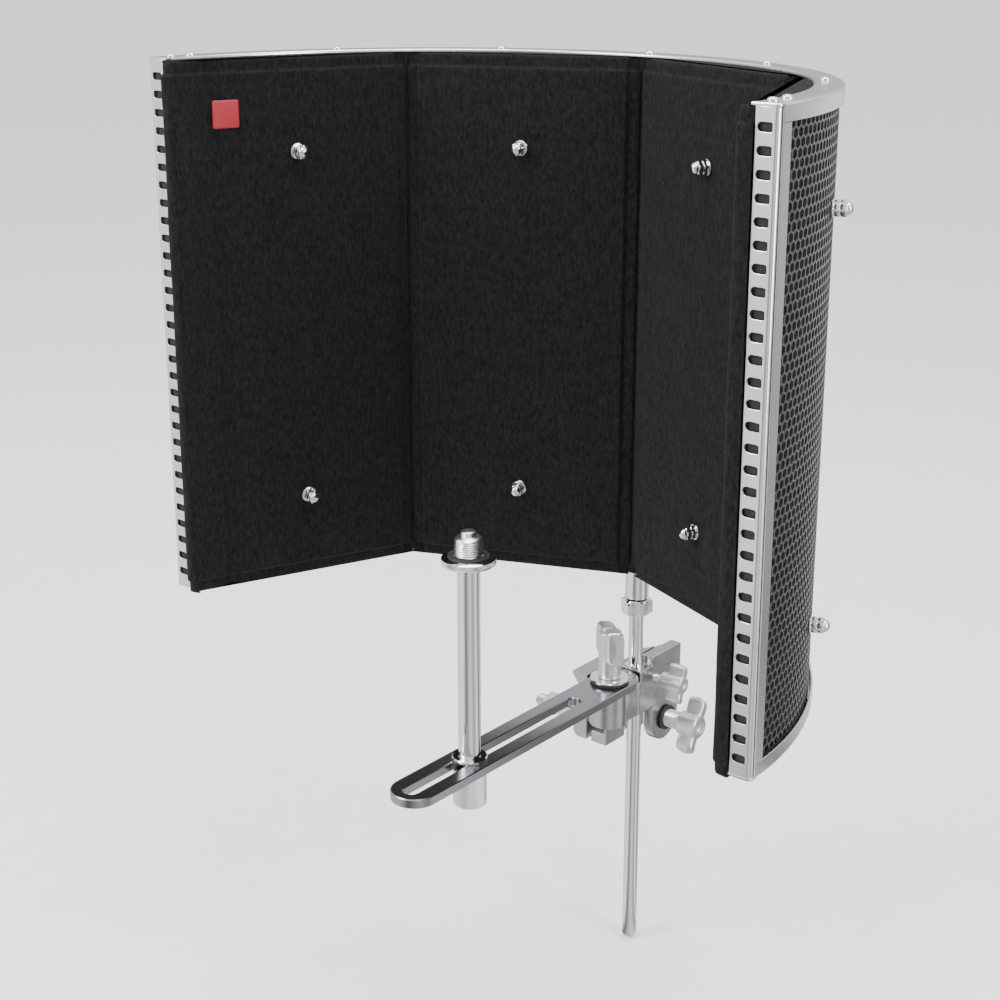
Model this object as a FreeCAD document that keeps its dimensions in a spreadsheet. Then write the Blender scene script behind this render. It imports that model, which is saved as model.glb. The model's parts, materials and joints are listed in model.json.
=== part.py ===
import FreeCAD, Part
import math
import os
import Sketcher

# Microphone isolation shield: a half-round acoustic panel on a chrome rod, and the clamp that carries it.
# Frame: origin on the axis of the microphone stand's tube, level with the stand-clamp screw.
# +Z is up, +Y points to the panel's closed back, and the singer stands on the -Y side.

DOC = FreeCAD.newDocument("isolation_shield")
SHEET = DOC.addObject("Spreadsheet::Sheet", "dimensions")
NODES = {}

DIMENSIONS = {
    # the panel's place in the frame
    "panel_x": 12.0,
    "panel_y": -214.5,
    "panel_z": 105.0,
    # outer panel
    "panel_height": 310.0,
    "rim_radius": 200.0,
    "rim_width": 14.5,
    "rim_skin": 1.5,
    "rim_lip": 8.0,
    "rim_inner_lip": 3.0,
    "lip_skin": 1.2,
    "end_overhang": 4.0,
    "shell_radius": 197.8,
    "shell_skin": 1.2,
    "post_width": 12.0,
    "post_skin": 1.2,
    "post_depth": 10.0,
    "slot_pitch": 10.0,
    "slot_length": 8.4,
    "slot_width": 4.2,
    "slot_count": 30,
    # inner layers
    "wool_outer": 196.2,
    "wool_inner": 192.0,
    "foil_outer": 191.9,
    "foil_inner": 191.6,
    "baffle_outer": 187.2,
    "baffle_inner": 186.2,
    "layer_bottom": 9.0,
    "layer_top": 301.0,
    "pad_face": 167.0,
    "pad_back": 184.9,
    "pad_groove": 183.0,
    "pad_proud": 1.5,
    "pad_gap": 0.5,
    # through bolts
    "bolt_low": 49.0,
    "bolt_high": 255.5,
    "bolt_radius": 2.0,
    "bolt_clearance": 2.3,
    "bolt_bore": 2.05,
    "washer_radius": 4.5,
    "washer_thick": 0.8,
    "nut_flats": 7.0,
    "nut_height": 3.2,
    "dome_height": 6.0,
    # rim screws
    "screw_circle": 191.0,
    "screw_radius": 1.5,
    "screw_length": 5.5,
    "screw_head": 2.7,
    "screw_head_height": 1.7,
    "block_inner": 189.5,
    "block_outer": 196.3,
    "block_width": 7.0,
    "block_height": 6.4,
    # support rod
    "rod_y": 191.0,
    "rod_radius": 4.5,
    "rod_bottom": -254.0,
    "rod_top": 13.0,
    "rod_bore": 4.55,
    "sleeve_radius": 7.2,
    "sleeve_length": 18.0,
    "lock_nut_flats": 17.0,
    "lock_nut_height": 9.6,
    # slotted arm
    "arm_top": -65.0,
    "arm_thick": 5.5,
    "arm_width": 27.0,
    "arm_front": -14.5,
    "arm_rear": 171.0,
    "arm_slot_width": 9.0,
    "arm_slot_front": -17.5,
    "arm_slot_rear": 127.0,
    "pivot_y": 163.5,
    "pivot_radius": 4.0,
    "pivot_hole": 4.07,
    # microphone post
    "post_y": 31.0,
    "tube_radius": 6.25,
    "tube_top": 50.0,
    "thread_radius": 7.85,
    "thread_top": 66.0,
    "disc_radius": 15.0,
    "disc_thick": 4.6,
    "foot_radius": 10.0,
    "foot_stud": 4.0,
    "foot_nut_radius": 9.5,
    "foot_nut_height": 21.0,
    # clamp
    "seat_radius": 10.0,
    "seat_x": -12.0,
    "seat_y": 214.5,
    "screw_z": -105.0,
    "clamp_screw_radius": 5.85,
    "rod_screw_radius": 2.5,
    "rod_screw_y": 199.5,
    "rod_screw_z": -72.0,
    "jaw_bolt_radius": 4.0,
    "jaw_bolt_y": 195.0,
    "jaw_bolt_z": -111.0,
    "badge_side": 15.5,
    "badge_inset": 50.4,
    "badge_bottom": 270.7,
    "badge_thick": 1.2,
}

for row, (alias, number) in enumerate(DIMENSIONS.items(), start=1):
    SHEET.set(f"A{row}", alias)
    SHEET.set(f"B{row}", str(number))
    SHEET.setAlias(f"B{row}", alias)
DOC.recompute()

RUNNING = 0.05
BOLT_ANGLES = (-67.5, -22.5, 22.5, 67.5)
SCREW_ANGLES = (-88.5, -84.5, -57.0, -28.0, 28.0, 57.0, 84.5, 88.5)
TOP_SCREW_ANGLES = SCREW_ANGLES + (0.0,)
UP = FreeCAD.Vector(0, 0, 1)
RIGHT = FreeCAD.Vector(1, 0, 0)


def size(alias):
    """A driving dimension from the spreadsheet."""
    return float(getattr(SHEET, alias))


def spot(x, y, z):
    """A point given from the centre of the panel's arc, at its bottom edge, in the row frame."""
    return FreeCAD.Vector(size("panel_x") + x, size("panel_y") + y, size("panel_z") + z)


def radial(angle):
    """The outward direction at an angle from the panel's back, seen from above."""
    turn = math.radians(angle)
    return FreeCAD.Vector(math.sin(turn), math.cos(turn), 0)


def bind(thing, **formulas):
    """Binds properties of an object to spreadsheet formulas or plain numbers."""
    for prop, formula in formulas.items():
        text = str(formula)
        for alias in sorted(DIMENSIONS, key=len, reverse=True):
            text = text.replace(f"<{alias}>", f"dimensions.{alias}")
        thing.setExpression(prop, text)
    return thing


def fresh(kind, name):
    """A new document object of a kind."""
    return DOC.addObject(kind, name)


def cylinder(name, radius, height, at, along=UP):
    """A cylinder that starts at a point and runs along a direction."""
    made = bind(fresh("Part::Cylinder", name), Radius=radius, Height=height)
    made.Placement = FreeCAD.Placement(at, FreeCAD.Rotation(UP, along))
    return made


def box(name, low, high):
    """A box between two corners that are given from the panel's arc centre."""
    made = fresh("Part::Box", name)
    made.Length, made.Width, made.Height = (high[i] - low[i] for i in range(3))
    made.Placement = FreeCAD.Placement(spot(*low), FreeCAD.Rotation())
    return made


def fuse(name, *parts):
    """One solid from several that overlap."""
    made = fresh("Part::MultiFuse", name)
    made.Shapes = list(parts)
    made.Refine = True
    return made


def cut(name, base, *tools):
    """A solid with one or more others taken out of it."""
    made = fresh("Part::Cut", name)
    made.Base = base
    made.Tool = tools[0] if len(tools) == 1 else fuse(name + "_tools", *tools)
    return made


def group(name, members):
    """Separate identical solids that share one node."""
    made = fresh("Part::Compound", name)
    made.Links = list(members)
    return made


def node(label, thing):
    """Names a finished sub-part."""
    thing.Label = label
    NODES[label] = thing
    return thing


def ring(name, outer, inner, height, at, along=UP):
    """A washer, bush or tube."""
    around = cylinder(name + "_outside", outer, height, at, along)
    hole = cylinder(name + "_hole", inner, height, at, along)
    return cut(name, around, hole)


def hexagon(name, flats, height, at, along=UP):
    """A hexagonal prism given by its width across flats."""
    made = fresh("Part::Prism", name)
    made.Polygon = 6
    bind(made, Circumradius=f"{flats} / 2 / cos(30 deg)", Height=height)
    made.Placement = FreeCAD.Placement(at, FreeCAD.Rotation(UP, along))
    return made


def hex_nut(name, flats, height, bore, at, along=UP):
    """A hexagonal nut with its bore."""
    return cut(name, hexagon(name + "_hex", flats, height, at, along),
               cylinder(name + "_bore", bore, height, at, along))


def outline(name, points, arcs=None):
    """A closed sketch in the XY plane. arcs maps a side's number to a point that it passes through."""
    sketch = fresh("Sketcher::SketchObject", name)
    arcs = arcs or {}
    corners = [FreeCAD.Vector(x, y, 0) for x, y in points]
    for i, start in enumerate(corners):
        end = corners[(i + 1) % len(corners)]
        if i in arcs:
            middle = FreeCAD.Vector(arcs[i][0], arcs[i][1], 0)
            sketch.addGeometry(Part.Arc(start, middle, end), False)
        else:
            sketch.addGeometry(Part.LineSegment(start, end), False)
    return sketch


def extrude(name, sketch, length, placement):
    """A straight extrusion of an outline, which stands in its own placement."""
    sketch.Placement = placement
    made = fresh("Part::Extrusion", name)
    made.Base = sketch
    made.DirMode = "Normal"
    made.Solid = True
    bind(made, LengthFwd=length)
    return made


def upright(z):
    """The placement of an outline that lies flat at a height above the panel's bottom edge."""
    return FreeCAD.Placement(spot(0, 0, z), FreeCAD.Rotation())


def half_ring(name, outer, inner, bottom, height):
    """A curved sheet that follows the panel's half circle."""
    around = bind(cylinder(name + "_outside", outer, height, spot(0, 0, bottom)), Angle=180)
    within = cylinder(name + "_inside", inner, height, spot(0, 0, bottom))
    return cut(name, around, within)


# ---------------------------------------------------------------- panel: rims and shell

def screw_shafts(name, angles, radius, bottom, length):
    """The upright holes of one rim's screws."""
    shafts = []
    for i, angle in enumerate(angles):
        foot = radial(angle) * size("screw_circle") + spot(0, 0, bottom)
        shafts.append(cylinder(f"{name}_{i}", radius, length, foot))
    return shafts


def rim(label, angles, plate_bottom, lip_bottom, inner_lip_bottom, bore=None):
    """A curved C-strip: a flat plate, an outer lip and an inner lip. The plate runs on over the end posts."""
    plate = half_ring(label + "_plate", "<rim_radius>", "<rim_radius> - <rim_width>", plate_bottom,
                      "<rim_skin>")
    outer_lip = half_ring(label + "_outer_lip", "<rim_radius>", "<rim_radius> - <lip_skin>", lip_bottom,
                          "<rim_lip>")
    inner_radius = "<rim_radius> - <rim_width>"
    inner_lip = half_ring(label + "_inner_lip", f"{inner_radius} + <lip_skin>", inner_radius,
                          inner_lip_bottom, "<rim_inner_lip>")
    inner = size("rim_radius") - size("rim_width")
    ends = []
    for side in (-1, 1):
        low, high = sorted((side * inner, side * size("rim_radius")))
        ends.append(box(f"{label}_end_{side + 1}", (low, -size("end_overhang"), plate_bottom),
                        (high, 1.0, plate_bottom + size("rim_skin"))))
        ends[-1].Width = size("end_overhang")
    holes = screw_shafts(label + "_hole", angles, f"<screw_radius> + {RUNNING}", plate_bottom, "<rim_skin>")
    if bore:
        holes.append(cylinder(label + "_bore", bore, "<rim_inner_lip> + 1",
                              spot(0, size("rod_y"), plate_bottom - 0.5)))
    return node(label, cut(label + "_body", fuse(label + "_strip", plate, outer_lip, inner_lip, *ends),
                           *holes))


def rims():
    height = size("panel_height")
    skin = size("rim_skin")
    rim("top_rim", TOP_SCREW_ANGLES, height - skin, height - size("rim_lip"), height - size("rim_inner_lip"))
    rim("bottom_rim", SCREW_ANGLES, 0, 0, 0, bore="<rod_bore> + 0.4")


def bolt_holes(name):
    """The eight radial holes that the through bolts pass."""
    holes = []
    for angle in BOLT_ANGLES:
        for level in ("bolt_low", "bolt_high"):
            start = radial(angle) * 150 + spot(0, 0, size(level))
            holes.append(cylinder(f"{name}_{len(holes)}", "<bolt_clearance>", 60, start, radial(angle)))
    return fuse(name, *holes)


def layers():
    """The curved layers: perforated shell, rear wool, foil, then an air gap and the inner baffle."""
    holes = bolt_holes("layer_bolt_holes")
    anchor_room = box("anchor_room", (-9, 180, 0), (9, 196.5, 16.5))
    full = "<panel_height> - 2 * <rim_skin> - 0.2"
    shell = half_ring("shell_sheet", "<shell_radius>", "<shell_radius> - <shell_skin>",
                      size("rim_skin") + 0.1, full)
    node("perforated_shell", cut("shell_body", shell, holes))
    band = "<layer_top> - <layer_bottom>"
    for label, outer, inner in (
        ("rear_wool", "<wool_outer>", "<wool_inner>"),
        ("foil_layer", "<foil_outer>", "<foil_inner>"),
        ("inner_baffle", "<baffle_outer>", "<baffle_inner>"),
    ):
        sheet = half_ring(label + "_sheet", outer, inner, size("layer_bottom"), band)
        node(label, cut(label + "_body", sheet, holes, anchor_room))


def end_post():
    """The right end post: a channel with a column of slots. The left post is its mirror image."""
    outer = size("rim_radius")
    inner = outer - size("post_width")
    front = -size("end_overhang")
    back = front + size("post_depth")
    skin = size("post_skin")
    corner = 1.6
    bend = corner * (1 - math.sqrt(0.5))
    profile = [
        (inner, front), (outer - corner, front), (outer, front + corner), (outer, back), (outer - skin, back),
        (outer - skin, front + skin), (inner + skin, front + skin), (inner + skin, back), (inner, back),
    ]
    body = fresh("PartDesign::Body", "right_post_channel")
    body.Placement = upright(0)
    sketch = body.newObject("Sketcher::SketchObject", "post_profile")
    floor = [f for f in body.Origin.OriginFeatures if f.Role == "XY_Plane"][0]
    sketch.AttachmentSupport = [(floor, "")]
    sketch.MapMode = "FlatFace"
    bottom = size("rim_skin") + 0.1
    sketch.AttachmentOffset = FreeCAD.Placement(FreeCAD.Vector(0, 0, bottom), FreeCAD.Rotation())
    corners = [FreeCAD.Vector(x, y, 0) for x, y in profile]
    for i, start in enumerate(corners):
        end = corners[(i + 1) % len(corners)]
        if i == 1:
            middle = FreeCAD.Vector(outer - bend, front + bend, 0)
            sketch.addGeometry(Part.Arc(start, middle, end), False)
        else:
            sketch.addGeometry(Part.LineSegment(start, end), False)
    column = body.newObject("PartDesign::Pad", "post_length")
    column.Profile = sketch
    bind(column, Length="<panel_height> - 2 * <rim_skin> - 0.2")
    DOC.recompute()
    slot = body.newObject("Sketcher::SketchObject", "slot_profile")
    wall = [f for f in body.Origin.OriginFeatures if f.Role == "XZ_Plane"][0]
    slot.AttachmentSupport = [(wall, "")]
    slot.MapMode = "FlatFace"
    slot_shape(slot, (inner + outer) / 2, size("slot_pitch"))
    window = body.newObject("PartDesign::Pocket", "slot_cut")
    window.Profile = slot
    window.Type = "Length"
    window.Midplane = True
    window.Length = 2 * (size("end_overhang") + 1)
    DOC.recompute()
    pattern = body.newObject("PartDesign::LinearPattern", "slot_row")
    pattern.Originals = [window]
    pattern.Direction = (column.Profile[0], ["N_Axis"])
    bind(pattern, Length="<slot_pitch> * (<slot_count> - 1)", Occurrences="<slot_count>")
    body.Tip = pattern
    DOC.recompute()
    lip_notches = []
    reach = size("rim_lip") + 0.2
    height = size("panel_height")
    for i, (low, high) in enumerate(((0, reach), (height - reach, height))):
        lip_notches.append(box(f"post_notch_{i}", (outer - 2, -0.2, low), (outer + 1, back + 1, high)))
    right = node("right_end_post", cut("right_post_body", body, *lip_notches))
    left = fresh("Part::Mirroring", "left_post_body")
    left.Source = right
    left.Base = spot(0, 0, 0)
    left.Normal = RIGHT
    node("left_end_post", left)


def slot_shape(sketch, middle_x, middle_z):
    """One round-ended slot, drawn lying flat."""
    half = (size("slot_length") - size("slot_width")) / 2
    end = size("slot_width") / 2
    corners = [
        FreeCAD.Vector(middle_x + along * half, middle_z + across * end, 0)
        for along, across in ((-1, -1), (1, -1), (1, 1), (-1, 1))
    ]
    right_tip = FreeCAD.Vector(middle_x + half + end, middle_z, 0)
    left_tip = FreeCAD.Vector(middle_x - half - end, middle_z, 0)
    sketch.addGeometry(Part.LineSegment(corners[0], corners[1]), False)
    sketch.addGeometry(Part.Arc(corners[1], right_tip, corners[2]), False)
    sketch.addGeometry(Part.LineSegment(corners[2], corners[3]), False)
    sketch.addGeometry(Part.Arc(corners[3], left_tip, corners[0]), False)


# ---------------------------------------------------------------- panel: felt pads

def pads():
    """Four felt pads with flat faces, grooves between them and a round back. The outer two wrap the ends."""
    half_turn = math.radians(22.5)
    face = size("pad_face")
    back = size("pad_back")
    gap = size("pad_gap") / 2
    groove = size("pad_groove")
    edge = groove * math.sin(half_turn) - gap
    edge_back = back * math.sin(half_turn) - gap
    bevel = 8.0
    length = "<panel_height>"
    holes = bolt_holes("pad_bolt_holes")
    sleeve_room = cylinder("sleeve_room", "<sleeve_radius> + 0.4", 2,
                           spot(0, size("rod_y"), -size("pad_proud") - 0.1))
    inner = [
        (-edge, groove * math.cos(half_turn)),
        (-edge + bevel, face),
        (edge - bevel, face),
        (edge, groove * math.cos(half_turn)),
        (edge_back, back * math.cos(half_turn)),
        (-edge_back, back * math.cos(half_turn)),
    ]
    for label, angle in (("felt_pad_centre_left", -22.5), ("felt_pad_centre_right", 22.5)):
        sketch = outline(label + "_outline", inner, {4: (0, back)})
        turned = FreeCAD.Placement(spot(0, 0, -size("pad_proud")), FreeCAD.Rotation(UP, -angle))
        node(label, cut(label + "_body", extrude(label + "_block", sketch, length, turned), holes,
                        sleeve_room))
    # the outer pad is drawn in the panel's own plan, on the right
    across = (math.cos(math.radians(67.5)), -math.sin(math.radians(67.5)))
    outward = (math.sin(math.radians(67.5)), math.cos(math.radians(67.5)))

    def plan(distance, along):
        return (outward[0] * distance + across[0] * along, outward[1] * distance + across[1] * along)

    wrap_start = (176.8, 9.6)
    wrap_front = -8.0
    outer = [
        plan(groove * math.cos(half_turn), -edge),
        plan(face, -edge + bevel),
        wrap_start,
        (180.3, wrap_front),
        (187.5, wrap_front),
        (187.5, -size("end_overhang") - 0.4),
        (back, -size("end_overhang") - 0.4),
        (back, 0),
        plan(back * math.cos(half_turn), -edge_back),
    ]
    middle = radial(67.5) * back
    sketch = outline("outer_pad_outline", outer, {7: (middle.x, middle.y)})
    block = extrude("outer_pad_block", sketch, length, upright(-size("pad_proud")))
    right = node("felt_pad_right", cut("outer_pad_body", block, holes))
    left = fresh("Part::Mirroring", "outer_pad_left")
    left.Source = right
    left.Base = spot(0, 0, 0)
    left.Normal = RIGHT
    node("felt_pad_left", left)


def badge():
    """A plain square badge on the left pad, near its top and its free end."""
    plate = fresh("Part::Box", "badge_plate")
    bind(plate, Length="<badge_side>", Width="<badge_thick>", Height="<badge_side>")
    facing = radial(-67.5) * (size("pad_face") - size("badge_thick") - 0.02)
    along = FreeCAD.Vector(-math.cos(math.radians(67.5)), -math.sin(math.radians(67.5)), 0)
    corner = facing + along * size("badge_inset") + spot(0, 0, size("badge_bottom"))
    plate.Placement = FreeCAD.Placement(corner, FreeCAD.Rotation(UP, 67.5))
    node("badge", plate)


# ---------------------------------------------------------------- panel: through bolts and rim screws

def acorn(name, start, direction):
    """A domed nut: a hexagon with a round cap, and a blind bore."""
    hexed = hexagon(name + "_hex", "<nut_flats>", "<nut_height>", start, direction)
    cap_radius = size("nut_flats") / 2 - 0.2
    cap = cylinder(name + "_neck", cap_radius, "<dome_height> - 1.8", start, direction)
    dome = fresh("Part::Sphere", name + "_dome")
    dome.Radius = cap_radius
    top = start + direction * (size("dome_height") - cap_radius)
    dome.Placement = FreeCAD.Placement(top, FreeCAD.Rotation())
    bore = cylinder(name + "_bore", "<bolt_bore>", "<dome_height> - 1.4", start, direction)
    keep = cylinder(name + "_keep", 8, 12, start, direction)
    trimmed = fresh("Part::Common", name + "_trim")
    trimmed.Base = fuse(name + "_solid", hexed, cap, dome)
    trimmed.Tool = keep
    return cut(name, trimmed, bore)


def through_bolts():
    """Eight threaded bolts clamp the layers. Each end carries a washer, a nut and a domed nut."""
    face = size("pad_face")
    shell = size("shell_radius")
    washer = size("washer_thick")
    nut = size("nut_height")
    slack = 0.02
    sets = {label: [] for label in (
        "through_bolts", "air_gap_spacers", "inner_washers", "inner_hex_nuts", "inner_dome_nuts",
        "outer_washers", "outer_hex_nuts", "outer_dome_nuts")}
    for angle in BOLT_ANGLES:
        for level in ("bolt_low", "bolt_high"):
            out = radial(angle)
            base = spot(0, 0, size(level))
            tag = f"{level}_{BOLT_ANGLES.index(angle)}"

            def at(distance):
                return base + out * distance

            inner_stack = face - slack - washer
            inner_nut = inner_stack - slack - nut
            inner_dome = inner_nut - slack
            outer_stack = shell + 0.1
            outer_nut = outer_stack + washer + slack
            outer_dome = outer_nut + nut + slack
            reach = size("dome_height") - 2.0
            length = outer_dome - inner_dome + 2 * reach
            sets["through_bolts"].append(
                cylinder(f"bolt_{tag}", "<bolt_radius>", length, at(inner_dome - reach), out))
            sets["air_gap_spacers"].append(
                ring(f"spacer_{tag}", 4.0, "<bolt_bore>", "<foil_inner> - <baffle_outer> - 0.1",
                     at(size("baffle_outer") + 0.05), out))
            sets["inner_washers"].append(
                ring(f"inner_washer_{tag}", "<washer_radius>", "<bolt_bore>", "<washer_thick>",
                     at(inner_stack), out))
            sets["inner_hex_nuts"].append(
                hex_nut(f"inner_nut_{tag}", "<nut_flats>", "<nut_height>", "<bolt_bore>", at(inner_nut), out))
            sets["inner_dome_nuts"].append(acorn(f"inner_dome_{tag}", at(inner_dome), out * -1))
            sets["outer_washers"].append(
                ring(f"outer_washer_{tag}", "<washer_radius>", "<bolt_bore>", "<washer_thick>",
                     at(outer_stack), out))
            sets["outer_hex_nuts"].append(
                hex_nut(f"outer_nut_{tag}", "<nut_flats>", "<nut_height>", "<bolt_bore>", at(outer_nut), out))
            sets["outer_dome_nuts"].append(acorn(f"outer_dome_{tag}", at(outer_dome), out))
    for label, members in sets.items():
        node(label, group(label + "_set", members))


def rim_screws():
    """Pan-head screws hold each rim to small threaded blocks inside the panel."""
    height = size("panel_height")
    skin = size("rim_skin")
    for label, blocks, angles, face, sense in (
        ("top_rim_screws", "top_fixing_blocks", TOP_SCREW_ANGLES, height, -1),
        ("bottom_rim_screws", "bottom_fixing_blocks", SCREW_ANGLES, 0, 1),
    ):
        heads = []
        squares = []
        for i, angle in enumerate(angles):
            foot = radial(angle) * size("screw_circle") + spot(0, 0, face)
            inward = UP * sense
            shank = cylinder(f"{label}_shank_{i}", "<screw_radius>", "<screw_length>", foot, inward)
            head = fresh("Part::Cone", f"{label}_head_{i}")
            bind(head, Radius1="<screw_head>", Radius2="<screw_head> * 0.62", Height="<screw_head_height>")
            head.Placement = FreeCAD.Placement(foot, FreeCAD.Rotation(UP, inward * -1))
            heads.append(fuse(f"{label}_{i}", shank, head))
            low = (-size("block_width") / 2, size("block_inner"), 0)
            cube = fresh("Part::Box", f"{blocks}_cube_{i}")
            bind(cube, Length="<block_width>", Width="<block_outer> - <block_inner>", Height="<block_height>")
            lift = face + skin + 0.1 if sense > 0 else face - skin - 0.1 - size("block_height")
            turn = FreeCAD.Rotation(UP, -angle)
            cube.Placement = FreeCAD.Placement(spot(0, 0, lift) + turn.multVec(FreeCAD.Vector(*low)), turn)
            thread = cylinder(f"{blocks}_thread_{i}", f"<screw_radius> + {RUNNING}", 20, foot - UP * 10)
            squares.append(cut(f"{blocks}_{i}", cube, thread))
        node(label, group(label + "_set", heads))
        node(blocks, group(blocks + "_set", squares))


# ---------------------------------------------------------------- support rod

def rod_parts():
    """The chrome rod, its lock nut, and the socket under the bottom rim in which the panel turns."""
    rod_y = size("rod_y")
    rounding = 1.5
    shaft = cylinder("rod_shaft", "<rod_radius>", "<rod_top> - <rod_bottom>",
                     spot(0, rod_y, size("rod_bottom")))
    DOC.recompute()
    rounded = fresh("Part::Fillet", "rod_rounded")
    rounded.Base = shaft
    rounded.Edges = [
        (i, rounding, rounding)
        for i, edge in enumerate(shaft.Shape.Edges, start=1)
        if edge.Curve.TypeId.endswith("Circle")
    ]
    node("support_rod", rounded)
    nut_bottom = -size("sleeve_length") - 0.4 - size("lock_nut_height")
    node("rod_lock_nut", hex_nut("lock_nut", "<lock_nut_flats>", "<lock_nut_height>", "<rod_bore>",
                                 spot(0, rod_y, nut_bottom)))
    node("rod_socket_sleeve", ring("socket_sleeve", "<sleeve_radius>", "<rod_bore>", "<sleeve_length> - 0.05",
                                   spot(0, rod_y, -size("sleeve_length"))))
    anchor = box("anchor_block", (-8, 187.6, size("rim_skin") + 0.1), (8, 196.2, 15.5))
    bore = cylinder("anchor_bore", "<rod_bore>", 30, spot(0, rod_y, -5))
    node("rod_anchor_block", cut("anchor_body", anchor, bore))


# ---------------------------------------------------------------- slotted arm and microphone post

def arm():
    """The flat slotted bar, with its pivot hole near the rod."""
    body = fresh("PartDesign::Body", "arm_bar")
    body.Placement = upright(size("arm_top") - size("arm_thick"))
    floor = [f for f in body.Origin.OriginFeatures if f.Role == "XY_Plane"][0]

    def stadium(name, front, rear, width):
        sketch = body.newObject("Sketcher::SketchObject", name)
        sketch.AttachmentSupport = [(floor, "")]
        sketch.MapMode = "FlatFace"
        half = width / 2
        sketch.addGeometry(Part.LineSegment(FreeCAD.Vector(half, front, 0), FreeCAD.Vector(half, rear, 0)),
                           False)
        sketch.addGeometry(Part.Arc(FreeCAD.Vector(half, rear, 0), FreeCAD.Vector(0, rear + half, 0),
                                    FreeCAD.Vector(-half, rear, 0)), False)
        sketch.addGeometry(Part.LineSegment(FreeCAD.Vector(-half, rear, 0), FreeCAD.Vector(-half, front, 0)),
                           False)
        sketch.addGeometry(Part.Arc(FreeCAD.Vector(-half, front, 0), FreeCAD.Vector(0, front - half, 0),
                                    FreeCAD.Vector(half, front, 0)), False)
        return sketch

    bar = body.newObject("PartDesign::Pad", "bar")
    bar.Profile = stadium("bar_outline", size("arm_front"), size("arm_rear"), size("arm_width"))
    bind(bar, Length="<arm_thick>")
    DOC.recompute()
    slot = body.newObject("PartDesign::Pocket", "long_slot")
    slot.Profile = stadium("slot_outline", size("arm_slot_front"), size("arm_slot_rear"),
                           size("arm_slot_width"))
    slot.Reversed = True
    bind(slot, Length="<arm_thick>")
    body.Tip = slot
    DOC.recompute()
    pivot = cylinder("arm_pivot_hole", "<pivot_hole>", 10, spot(0, size("pivot_y"), size("arm_top") - 8))
    node("slotted_arm", cut("arm_body", body, pivot))


def microphone_post():
    """The post on the arm: a foot washer, a tube, a threaded microphone stud and a knurled disc."""
    post_y = size("post_y")
    top = size("arm_top")
    tube_top = size("tube_top")
    foot_thick = 2.0
    stud_bottom = top - size("arm_thick") - 22.0
    node("post_foot_washer", ring("foot_washer", "<foot_radius>", f"<foot_stud> + {RUNNING}",
                                  foot_thick - 0.05,
                                  spot(0, post_y, top + 0.03)))
    node("post_foot_stud", cylinder("foot_stud", "<foot_stud>", top + 14 - stud_bottom,
                                    spot(0, post_y, stud_bottom)))
    tube = cylinder("post_outside", "<tube_radius>", tube_top - top - foot_thick,
                    spot(0, post_y, top + foot_thick))
    foot_bore = cylinder("post_foot_bore", f"<foot_stud> + {RUNNING}", 14,
                         spot(0, post_y, top + foot_thick - 1))
    node("mic_post_tube", cut("post_body", tube, foot_bore))
    neck_top = tube_top + 5.7
    neck = cylinder("thread_neck", "<thread_radius> - 0.4", neck_top - tube_top,
                    spot(0, post_y, tube_top + 0.05))
    thread = cylinder("thread_outside", "<thread_radius>", size("thread_top") - 1.5 - neck_top,
                      spot(0, post_y, neck_top))
    chamfer = fresh("Part::Cone", "thread_chamfer")
    bind(chamfer, Radius1="<thread_radius>", Radius2="<thread_radius> - 1.5", Height=1.5)
    chamfer.Placement = FreeCAD.Placement(spot(0, post_y, size("thread_top") - 1.5), FreeCAD.Rotation())
    pilot = cylinder("thread_pilot", 4.2, 3.0, spot(0, post_y, size("thread_top")))
    node("mic_thread_stud", fuse("thread_body", neck, thread, chamfer, pilot))
    node("knurled_disc", ring("disc", "<disc_radius>", "<thread_radius> + 0.08", "<disc_thick>",
                              spot(0, post_y, tube_top + 0.1)))
    node("disc_friction_ring", ring("friction_ring", 11.5, "<thread_radius> + 0.08", 0.8,
                                    spot(0, post_y, tube_top + 0.15 + size("disc_thick"))))
    underside = top - size("arm_thick")
    node("under_arm_washer", ring("arm_washer", "<foot_nut_radius>", f"<foot_stud> + {RUNNING}", 1.2,
                                  spot(0, post_y, underside - 1.25)))
    node("knurled_foot_nut", ring("foot_nut", "<foot_nut_radius>", f"<foot_stud> + {RUNNING}",
                                  "<foot_nut_height>",
                                  spot(0, post_y, underside - 1.3 - size("foot_nut_height"))))


# ---------------------------------------------------------------- wing screws

def wing(name, hub_radius, hub_start, hub_end, reach, depth, thick, bore, bore_end, direction, slant):
    """A cast wing: a round hub with two flat lobes at its outer end, and a blind bore for its stud.
    hub_start and hub_end are points, direction is the screw's outward axis, slant turns the lobes."""
    length = (hub_end - hub_start).Length
    hub = cylinder(name + "_hub", hub_radius, length, hub_start, direction)
    lobes = fresh("Part::Box", name + "_lobes")
    lobes.Length, lobes.Width, lobes.Height = 2 * reach, thick, depth
    turn = FreeCAD.Rotation(UP, direction).multiply(FreeCAD.Rotation(UP, slant))
    corner = FreeCAD.Vector(-reach, -thick / 2, 0)
    lobes.Placement = FreeCAD.Placement(hub_end - direction * depth + turn.multVec(corner), turn)
    hole = cylinder(name + "_bore", bore, bore_end, hub_start, direction)
    return cut(name, fuse(name + "_solid", hub, lobes), hole)


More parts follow.
